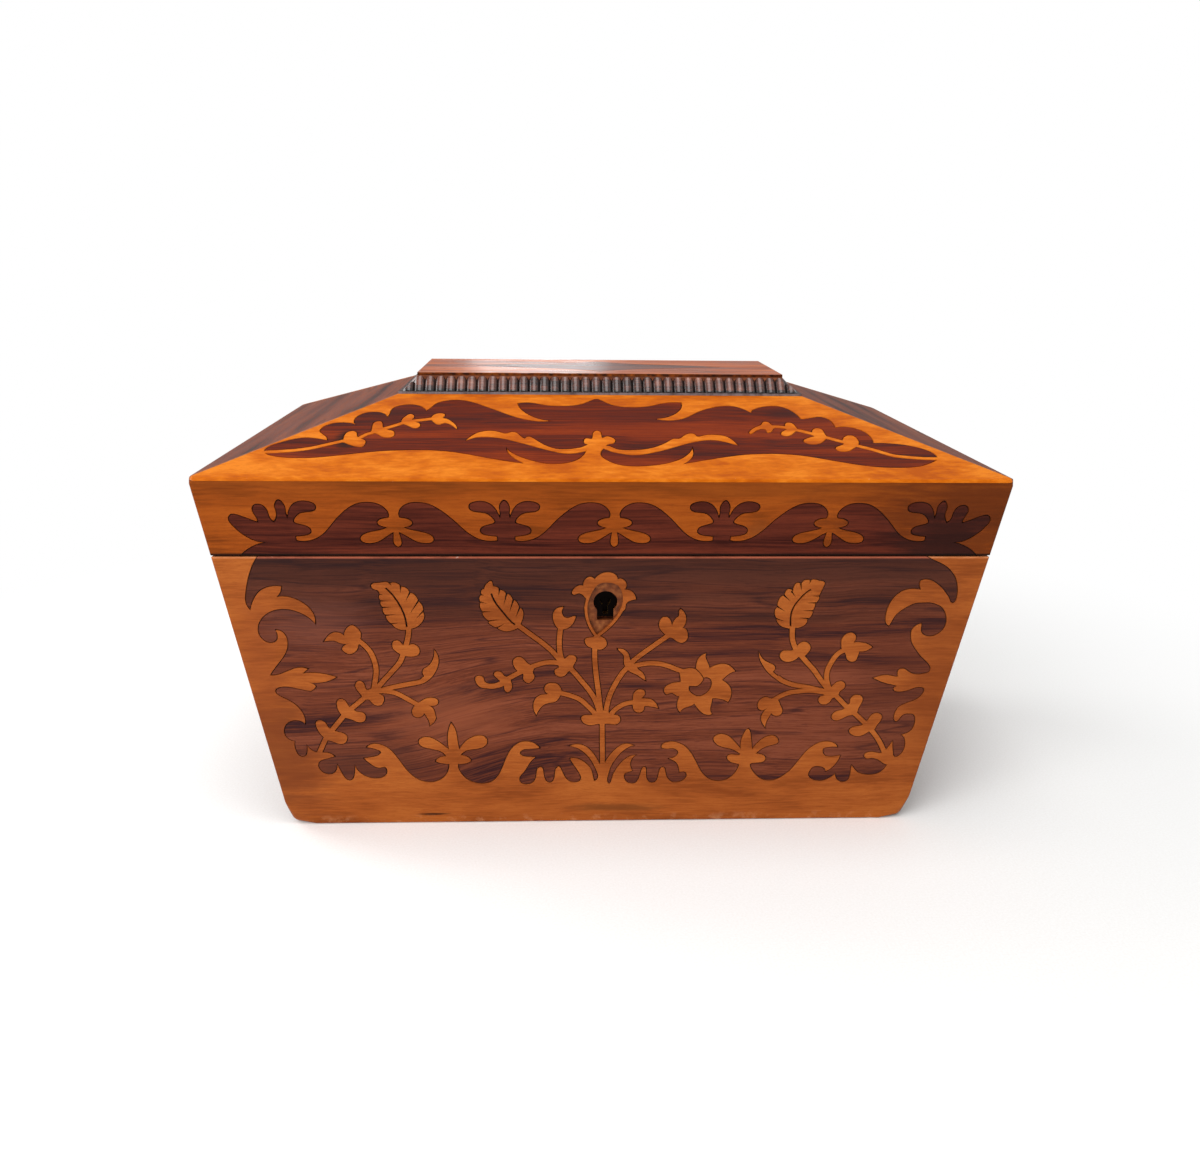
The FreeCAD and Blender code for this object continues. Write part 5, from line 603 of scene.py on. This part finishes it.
def blown_glass():
    # Lead glass, blown and polished: clear with a grey-green edge and faint waves from the blowing.
    material, tree = new_tree("glass_blown")
    place = add(tree, "ShaderNodeTexCoord").outputs["Object"]
    waves = noise(tree, place, 11 * MM, 1.0)
    tint = add(tree, "ShaderNodeValToRGB", {"Fac": waves}, stops=(
        (0.3, linear("e6efea")), (0.7, linear("f6faf8")))).outputs["Color"]
    roughness = ranged(tree, waves, (0.3, 0.7), (0.01, 0.05))
    relief = add(tree, "ShaderNodeBump", {"Height": waves, "Strength": 0.2, "Distance": 0.3 * MM}).outputs[0]
    shader = add(tree, "ShaderNodeBsdfPrincipled", {
        "Base Color": tint, "Roughness": roughness, "Normal": relief, "IOR": 1.54,
        "Transmission Weight": 1.0}).outputs[0]
    add(tree, "ShaderNodeOutputMaterial", {"Surface": shader})
    return material


def silk_velvet(colours):
    # Silk velvet, woven with a cut pile: deep red that pales where the pile leans, with worn patches.
    material, tree = new_tree("velvet_lining")
    place = add(tree, "ShaderNodeTexCoord").outputs["Object"]
    pile = noise(tree, place, 0.5 * MM, 2.0)
    lean = noise(tree, place, 22 * MM, 3.0)
    shade = calc(tree, "MULTIPLY_ADD", pile, 0.5, lean)
    cloth = add(tree, "ShaderNodeValToRGB", {"Fac": shade}, stops=(
        (0.5, linear("44121a")), (0.75, tuple(colours.velvet)), (1.0, linear("6c262e")))).outputs["Color"]
    roughness = ranged(tree, lean, target=(0.8, 1.0))
    relief = add(tree, "ShaderNodeBump", {"Height": pile, "Strength": 0.5, "Distance": 0.3 * MM}).outputs[0]
    shader = add(tree, "ShaderNodeBsdfPrincipled", {
        "Base Color": cloth, "Roughness": roughness, "Normal": relief, "Sheen Weight": 0.6,
        "Sheen Roughness": 0.4, "Sheen Tint": linear("c98a8e")}).outputs[0]
    add(tree, "ShaderNodeOutputMaterial", {"Surface": shader})
    return material


def finish_nodes(material, *nodes):
    """Gives CAD nodes that are shown as they are their material."""
    for node in nodes:
        slots = frame["nodes"][node].data.materials
        slots.clear()
        slots.append(material)


def outer_planes(sizes):
    """The box's outer planes, by name, each an outward direction and its distance from the origin."""
    lean_x = (sizes.edge_half_width - sizes.base_half_width) / sizes.edge_height
    lean_y = (sizes.edge_half_depth - sizes.base_half_depth) / sizes.edge_height
    rise = sizes.foot_height - sizes.edge_height
    run_x = sizes.edge_half_width - sizes.foot_half_width
    run_y = sizes.edge_half_depth - sizes.foot_half_depth
    through = {
        "left": ((-1, 0, -lean_x), (-sizes.base_half_width, 0, 0)),
        "right": ((1, 0, -lean_x), (sizes.base_half_width, 0, 0)),
        "front": ((0, -1, -lean_y), (0, -sizes.base_half_depth, 0)),
        "back": ((0, 1, -lean_y), (0, sizes.base_half_depth, 0)),
        "underside": ((0, 0, -1), (0, 0, 0)),
        "rim": ((0, 0, 1), (0, 0, RIM_HEIGHT)),
        "lid foot": ((0, 0, -1), (0, 0, LID_FOOT_HEIGHT)),
        "left slope": ((-rise, 0, run_x), (-sizes.edge_half_width, 0, sizes.edge_height)),
        "right slope": ((rise, 0, run_x), (sizes.edge_half_width, 0, sizes.edge_height)),
        "front slope": ((0, -rise, run_y), (0, -sizes.edge_half_depth, sizes.edge_height)),
        "back slope": ((0, rise, run_y), (0, sizes.edge_half_depth, sizes.edge_height)),
    }
    planes = {}
    for name, (direction, point) in through.items():
        facing = Vector(direction).normalized()
        planes[name] = (facing, facing.dot(Vector(point)))
    return planes


def rounding_cuts(faces, radius, steps):
    """Planes that round the edge or corner where two or three outer planes meet, as (direction, distance)."""
    rows = [face[0] for face in faces]
    reach = [face[1] - radius for face in faces]
    if len(rows) == 2:
        rows.append(rows[0].cross(rows[1]).normalized())
        reach.append(0.0)
    centre = Matrix(rows).inverted() @ Vector(reach)
    if len(faces) == 2:
        weights = [(step, steps - step, 0) for step in range(1, steps)]
    else:
        weights = [(a, b, steps - a - b) for a in range(1, steps - 1) for b in range(1, steps - a)]
    cuts = []
    for share in weights:
        facing = sum((row * part for row, part in zip(rows, share)), Vector()).normalized()
        cuts.append((facing, facing.dot(centre) + radius))
    return cuts


SIDES = ("left", "front", "right", "back")
CORNERS = (("left", "front"), ("front", "right"), ("right", "back"), ("back", "left"))


def case_cuts(sizes):
    """Wear on the body: its upright arrises, bottom edges, standing corners and the rim."""
    planes = outer_planes(sizes)
    cuts = []
    for first, second in CORNERS:
        cuts += rounding_cuts((planes[first], planes[second]), sizes.arris_wear, ARRIS_STEPS)
        cuts += rounding_cuts(
            (planes[first], planes[second], planes["underside"]), sizes.base_corner_wear, BASE_CORNER_STEPS)
    for side in SIDES:
        cuts += rounding_cuts((planes[side], planes["underside"]), sizes.arris_wear, ARRIS_STEPS)
        cuts += rounding_cuts((planes[side], planes["rim"]), sizes.rim_wear, RIM_STEPS)
    return cuts


def lid_cuts(sizes):
    """Wear on the lid: its upright arrises, widest edge, hips, corners and lower edge."""
    planes = outer_planes(sizes)
    cuts = []
    for first, second in CORNERS:
        cuts += rounding_cuts((planes[first], planes[second]), sizes.arris_wear, ARRIS_STEPS)
        first_slope, second_slope = planes[first + " slope"], planes[second + " slope"]
        cuts += rounding_cuts((first_slope, second_slope), sizes.arris_wear, HIP_STEPS)
        cuts += rounding_cuts(
            (planes[first], planes[second], first_slope), sizes.lid_corner_wear, LID_CORNER_STEPS)
    for side in SIDES:
        cuts += rounding_cuts((planes[side], planes[side + " slope"]), sizes.arris_wear, ARRIS_STEPS)
        cuts += rounding_cuts((planes[side], planes["lid foot"]), sizes.rim_wear, RIM_STEPS)
    return cuts


def worn_piece(node, body, material, cuts):
    """Copies a CAD node's mesh, merges it and planes its edges down to the worn outer form."""
    piece = bpy.data.objects.new(node + "_worn", frame["nodes"][node].data.copy())
    bpy.context.scene.collection.objects.link(piece)
    bpy.ops.object.select_all(action="DESELECT")
    piece.select_set(True)
    bpy.context.view_layer.objects.active = piece
    bpy.ops.object.mode_set(mode="EDIT")
    bpy.ops.mesh.select_all(action="SELECT")
    bpy.ops.mesh.remove_doubles(threshold=MERGE_DISTANCE)
    bpy.ops.mesh.dissolve_limited(angle_limit=FLAT_ANGLE)
    bpy.ops.object.mode_set(mode="OBJECT")
    if piece.data.has_custom_normals:
        bpy.ops.mesh.customdata_custom_splitnormals_clear()
    for facing, distance in cuts:
        reach = [facing.dot(point.co) - distance for point in piece.data.vertices]
        if max(reach) < LEAST_CUT:
            continue
        bpy.ops.object.mode_set(mode="EDIT")
        bpy.ops.mesh.select_all(action="SELECT")
        bpy.ops.mesh.bisect(
            plane_co=facing * distance, plane_no=facing, use_fill=True, clear_outer=True,
            threshold=CUT_TOLERANCE)
        bpy.ops.object.mode_set(mode="OBJECT")
    bpy.ops.object.shade_smooth_by_angle(angle=SMOOTH_ANGLE)
    even = piece.modifiers.new("even faces", "WEIGHTED_NORMAL")
    even.weight = 100
    even.keep_sharp = True
    bpy.ops.object.modifier_apply(modifier=even.name)
    piece.data.materials.clear()
    piece.data.materials.append(material)
    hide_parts(node)
    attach(piece, body)
    return piece


class FrontMarquetry(bpy.types.Operator):
    """Dresses the front of the body: rosewood field, satinwood border and flower sprays"""
    bl_idname = "sarcophagus.front_marquetry"
    bl_label = "Front marquetry"

    def execute(self, context):
        sizes, colours = context.scene.box_sizes, context.scene.box_colours
        cuts = case_cuts(sizes)
        satinwood = front_satinwood(colours)
        worn_piece("front_rosewood_field", "case", front_rosewood(colours), cuts)
        worn_piece("front_satinwood_border", "case", satinwood, cuts)
        finish_nodes(satinwood, "front_satinwood_sprays")
        return {"FINISHED"}


class LidBand(bpy.types.Operator):
    """Dresses the upright front band of the lid: satinwood above, rosewood crowns and waves below"""
    bl_idname = "sarcophagus.lid_band"
    bl_label = "Lid band"

    def execute(self, context):
        sizes, colours = context.scene.box_sizes, context.scene.box_colours
        cuts = lid_cuts(sizes)
        worn_piece("band_rosewood", "lid", band_rosewood(colours), cuts)
        worn_piece("band_satinwood", "lid", band_satinwood(colours), cuts)
        return {"FINISHED"}


class LidSlope(bpy.types.Operator):
    """Dresses the front slope of the lid: satinwood ground and rosewood cartouche"""
    bl_idname = "sarcophagus.lid_slope"
    bl_label = "Lid slope"

    def execute(self, context):
        sizes, colours = context.scene.box_sizes, context.scene.box_colours
        worn_piece(
            "slope_satinwood", "lid", slope_satinwood(colours), lid_cuts(sizes))
        finish_nodes(slope_rosewood(colours), "slope_rosewood_cartouche")
        return {"FINISHED"}


class Plateau(bpy.types.Operator):
    """Dresses the flat top inside the moulding"""
    bl_idname = "sarcophagus.plateau"
    bl_label = "Plateau"

    def execute(self, context):
        finish_nodes(plateau_satinwood(), "plateau_satinwood")
        finish_nodes(plateau_rosewood(), "plateau_rosewood_figure")
        return {"FINISHED"}


class ReededMoulding(bpy.types.Operator):
    """Dresses the four mitred lengths of reeded moulding and the fillet under them"""
    bl_idname = "sarcophagus.reeded_moulding"
    bl_label = "Reeded moulding"

    def execute(self, context):
        colours = context.scene.box_colours
        finish_nodes(moulding_rosewood(colours, "x"), "front_moulding", "back_moulding")
        finish_nodes(moulding_rosewood(colours, "y"), "left_moulding", "right_moulding")
        # The fillet's tones are painted near-black as the shadow under the reeds.
        finish_nodes(dust_and_shadow_fillet(), "moulding_fillet")
        return {"FINISHED"}


class PlainVeneers(bpy.types.Operator):
    """Dresses the plain rosewood of the ends and back, on the body and the lid"""
    bl_idname = "sarcophagus.plain_veneers"
    bl_label = "Plain veneers"

    def execute(self, context):
        sizes, colours = context.scene.box_sizes, context.scene.box_colours
        run_x = sizes.edge_half_width - sizes.foot_half_width
        run_y = sizes.edge_half_depth - sizes.foot_half_depth
        hip_line = (-run_y / run_x, 1, 0)
        hip_reach = (sizes.edge_half_depth - sizes.edge_half_width * run_y / run_x) / MM
        hip_wear = wear_and_shade_line(hip_line, hip_reach, 6, 0.5, 0.75, linear("b0662e"), 14.0, (0.25, 0.6))
        lengthwise, across = plain_rosewood(colours, "x"), plain_rosewood(colours, "y", (hip_wear,))
        for side, wood in (("left", across), ("right", across), ("back", lengthwise)):
            worn_piece(side + "_veneer", "case", wood, case_cuts(sizes))
            worn_piece("lid_" + side + "_veneer", "lid", wood, lid_cuts(sizes))
            worn_piece(side + "_slope_veneer", "lid", wood, lid_cuts(sizes))
        return {"FINISHED"}


class Carcass(bpy.types.Operator):
    """Dresses the mahogany boards of the body and the lid, with old glue on the faces under marquetry"""
    bl_idname = "sarcophagus.carcass"
    bl_label = "Carcass"

    def execute(self, context):
        sizes, colours = context.scene.box_sizes, context.scene.box_colours
        lengthwise, across = carcass_mahogany(colours, "x"), carcass_mahogany(colours, "y")
        glued_front = carcass_mahogany(colours, "x", "mahogany_front_board_", (
            glue_face(TO_FRONT, RECESS_CENTRE, RECESS_SIZE, linear("6c3618")),))
        glued_lid = carcass_mahogany(colours, "x", "mahogany_under_marquetry_", (glue_face(TO_FRONT),))
        glued_slope = carcass_mahogany(colours, "x", "mahogany_under_slope_", (glue_face(SLOPE_FACING),))
        cuts = case_cuts(sizes)
        worn_piece("front_board", "case", glued_front, cuts)
        worn_piece("back_board", "case", lengthwise, cuts)
        worn_piece("left_board", "case", across, cuts)
        worn_piece("right_board", "case", across, cuts)
        finish_nodes(lengthwise, "base_board", "lid_back_rail", "lid_back_slope", "lid_top_board")
        finish_nodes(across, "lid_left_rail", "lid_right_rail", "lid_left_slope", "lid_right_slope")
        finish_nodes(glued_lid, "lid_front_rail")
        finish_nodes(glued_slope, "lid_front_slope", "cap_board")
        return {"FINISHED"}


class TeaWells(bpy.types.Operator):
    """Dresses the partitions, ledges and bowl board, and the two lift-out lids with their knobs"""
    bl_idname = "sarcophagus.tea_wells"
    bl_label = "Tea wells"

    def execute(self, context):
        colours = context.scene.box_colours
        finish_nodes(
            carcass_mahogany(colours, "y", "mahogany_partition_"), "left_partition", "right_partition")
        finish_nodes(carcass_mahogany(colours, "x", "mahogany_fitted_"), "well_ledges", "bowl_board")
        finish_nodes(plain_rosewood(colours, "y"), "left_well_lid", "right_well_lid")
        finish_nodes(turned_rosewood(), "left_well_knob", "right_well_knob")
        return {"FINISHED"}


class MixingBowl(bpy.types.Operator):
    """Dresses the glass bowl between the tea wells"""
    bl_idname = "sarcophagus.mixing_bowl"
    bl_label = "Mixing bowl"

    def execute(self, context):
        finish_nodes(blown_glass(), "mixing_bowl")
        return {"FINISHED"}


class Brasswork(bpy.types.Operator):
    """Dresses the hinges, their pins and screws, the lock, its bolt and the link plate"""
    bl_idname = "sarcophagus.brasswork"
    bl_label = "Brasswork"

    def execute(self, context):
        brass = cast_brass(context.scene.box_colours)
        finish_nodes(
            brass, "left_hinge_case_leaf", "right_hinge_case_leaf", "left_hinge_lid_leaf",
            "right_hinge_lid_leaf", "hinge_pins", "case_screws", "lid_screws", "lock_bolt", "link_plate")
        # The lock case's front face is painted black, as the shade seen through the keyhole.
        finish_nodes(cast_brass(context.scene.box_colours, "brass_lock_case", TO_FRONT), "lock_case")
        return {"FINISHED"}


class LidLining(bpy.types.Operator):
    """Makes the velvet pad inside the lid"""
    bl_idname = "sarcophagus.lid_lining"
    bl_label = "Lid lining"

    def execute(self, context):
        sizes = context.scene.box_sizes
        low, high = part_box("lid_lining_panel")
        bpy.ops.object.select_all(action="DESELECT")
        bpy.ops.mesh.primitive_cube_add(size=1, location=(low + high) / 2, scale=high - low)
        pad = context.object
        pad.name = "lid_lining_pad"
        bpy.ops.object.transform_apply(location=True, rotation=True, scale=True)
        bpy.ops.object.mode_set(mode="EDIT")
        bpy.ops.mesh.select_all(action="DESELECT")
        bpy.ops.object.mode_set(mode="OBJECT")
        for face in pad.data.polygons:
            face.select = face.normal.z < -SAME_WAY
        bpy.ops.object.mode_set(mode="EDIT")
        bpy.ops.mesh.select_mode(type="FACE")
        for inward, swell in PAD_STEPS:
            bpy.ops.mesh.inset(thickness=inward * MM)
            bpy.ops.transform.translate(value=(0, 0, -swell * sizes.lining_crown))
        bpy.ops.object.mode_set(mode="OBJECT")
        rounding = pad.modifiers.new("soft edge", "BEVEL")
        rounding.width = PAD_EDGE
        rounding.segments = 3
        bpy.ops.object.modifier_apply(modifier=rounding.name)
        bpy.ops.object.shade_smooth_by_angle(angle=PAD_SMOOTH_ANGLE)
        pad.data.materials.append(silk_velvet(context.scene.box_colours))
        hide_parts("lid_lining_panel")
        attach(pad, "lid")
        return {"FINISHED"}


class Stage(bpy.types.Operator):
    """Sets the pale floor, the soft studio lights and the camera at the photograph's angle"""
    bl_idname = "sarcophagus.stage"
    bl_label = "Studio stage"

    def execute(self, context):
        scene = context.scene
        scene.view_settings.view_transform = "Standard"
        bpy.ops.object.select_all(action="DESELECT")
        bpy.ops.mesh.primitive_plane_add(size=FLOOR_SIZE, location=(0, 0, -FLOOR_DROP))
        floor = context.object
        floor.name = "studio_floor"
        floor.data.materials.append(studio_paper())
        studio_world(scene)
        for name, watts, size, place, aim in LAMPS:
            lamp = bpy.data.lights.new(name, "AREA")
            lamp.energy = watts
            lamp.size = size
            holder = bpy.data.objects.new(name, lamp)
            scene.collection.objects.link(holder)
            holder.location = place
            holder.rotation_mode = "QUATERNION"
            holder.rotation_quaternion = (Vector(aim) - Vector(place)).to_track_quat("-Z", "Y")
            holder.visible_camera = False
        shot = bpy.data.cameras.new("photograph_view")
        camera = bpy.data.objects.new("photograph_view", shot)
        scene.collection.objects.link(camera)
        shot.sensor_fit = "HORIZONTAL"
        shot.sensor_width = SENSOR_WIDTH
        shot.lens = FOCAL_PIXELS / PHOTO_WIDTH * SENSOR_WIDTH
        shot.clip_start = 0.01
        ahead = Vector((math.sin(YAW) * math.cos(PITCH), math.cos(YAW) * math.cos(PITCH), -math.sin(PITCH)))
        level = Vector((math.cos(YAW), -math.sin(YAW), 0))
        upright = level.cross(ahead)
        right = level * math.cos(ROLL) + upright * math.sin(ROLL)
        up = upright * math.cos(ROLL) - level * math.sin(ROLL)
        turn = Matrix((right, up, -ahead)).transposed()
        camera.rotation_mode = "QUATERNION"
        camera.rotation_quaternion = turn.to_quaternion()
        camera.location = CAMERA_PLACE
        scene.camera = camera
        return {"FINISHED"}


def background_rays(tree):
    """One for rays that show the background: from the camera, through glass and off polish and metal."""
    rays = add(tree, "ShaderNodeLightPath").outputs
    seen = rays["Is Camera Ray"]
    for kind in ("Is Glossy Ray", "Is Transmission Ray"):
        seen = calc(tree, "MAXIMUM", seen, rays[kind])
    return seen


def studio_paper():
    # Matt white studio paper: keeps the box's soft shadow and runs out to plain white.
    material, tree = new_tree("studio_paper")
    place = add(tree, "ShaderNodeTexCoord").outputs["Object"]
    tooth = noise(tree, place, 0.9 * MM, 2.0)
    shade = add(tree, "ShaderNodeValToRGB", {"Fac": tooth}, stops=(
        (0.3, linear("f4f3f1")), (0.7, linear("fafaf9")))).outputs["Color"]
    paper = add(tree, "ShaderNodeBsdfPrincipled", {
        "Base Color": shade, "Roughness": 0.9, "Specular IOR Level": 0.2}).outputs[0]
    glow = add(tree, "ShaderNodeEmission", {"Color": (1, 1, 1, 1), "Strength": 1.0}).outputs[0]
    reach = add(tree, "ShaderNodeVectorMath", {0: place}, operation="LENGTH").outputs["Value"]
    far = ranged(tree, reach, (0.2, 0.5), kind="SMOOTHSTEP")
    seen = background_rays(tree)
    white = calc(tree, "MULTIPLY", far, seen)
    surface = add(tree, "ShaderNodeMixShader", {0: white, 1: paper, 2: glow}).outputs[0]
    add(tree, "ShaderNodeOutputMaterial", {"Surface": surface})
    return material


def studio_world(scene):
    # White room: plain white to the eye and in glass, a softer level as light.
    world = bpy.data.worlds.new("studio_white")
    scene.world = world
    world.use_nodes = True
    tree = world.node_tree
    tree.nodes.clear()
    seen = background_rays(tree)
    strength = ranged(tree, seen, target=(ROOM_LIGHT, 1.0))
    light = add(tree, "ShaderNodeBackground", {"Color": (1, 1, 1, 1), "Strength": strength}).outputs[0]
    add(tree, "ShaderNodeOutputWorld", {"Surface": light})


class SarcophagusPanel(bpy.types.Panel):
    """Lists the steps that dress the box"""
    bl_idname = "VIEW3D_PT_sarcophagus_box"
    bl_label = "Sarcophagus Box"
    bl_space_type = "VIEW_3D"
    bl_region_type = "UI"
    bl_category = "Sarcophagus Box"

    def draw(self, context):
        for step in STEPS:
            self.layout.operator(step.bl_idname)
        for group in (context.scene.box_sizes, context.scene.box_colours):
            for name in group.__annotations__:
                self.layout.prop(group, name)


STEPS = (
    FrontMarquetry, LidBand, LidSlope, Plateau, ReededMoulding, PlainVeneers, Carcass, TeaWells, MixingBowl,
    Brasswork, LidLining, Stage,
)


def register():
    for made in (BoxSizes, BoxColours, *STEPS, SarcophagusPanel):
        bpy.utils.register_class(made)
    bpy.types.Scene.box_sizes = bpy.props.PointerProperty(type=BoxSizes)
    bpy.types.Scene.box_colours = bpy.props.PointerProperty(type=BoxColours)


def unregister():
    del bpy.types.Scene.box_sizes
    del bpy.types.Scene.box_colours
    for made in (SarcophagusPanel, *reversed(STEPS), BoxColours, BoxSizes):
        bpy.utils.unregister_class(made)


def main():
    register()
    ours = set(frame["nodes"].values()) | set(frame["bodies"].values())
    for left_over in set(bpy.data.objects) - ours:
        bpy.data.objects.remove(left_over)
    bpy.ops.sarcophagus.front_marquetry()
    bpy.ops.sarcophagus.lid_band()
    bpy.ops.sarcophagus.lid_slope()
    bpy.ops.sarcophagus.plateau()
    bpy.ops.sarcophagus.reeded_moulding()
    bpy.ops.sarcophagus.plain_veneers()
    bpy.ops.sarcophagus.carcass()
    bpy.ops.sarcophagus.tea_wells()
    bpy.ops.sarcophagus.mixing_bowl()
    bpy.ops.sarcophagus.brasswork()
    bpy.ops.sarcophagus.lid_lining()
    bpy.ops.sarcophagus.stage()


if __name__ == "__main__":
    main()
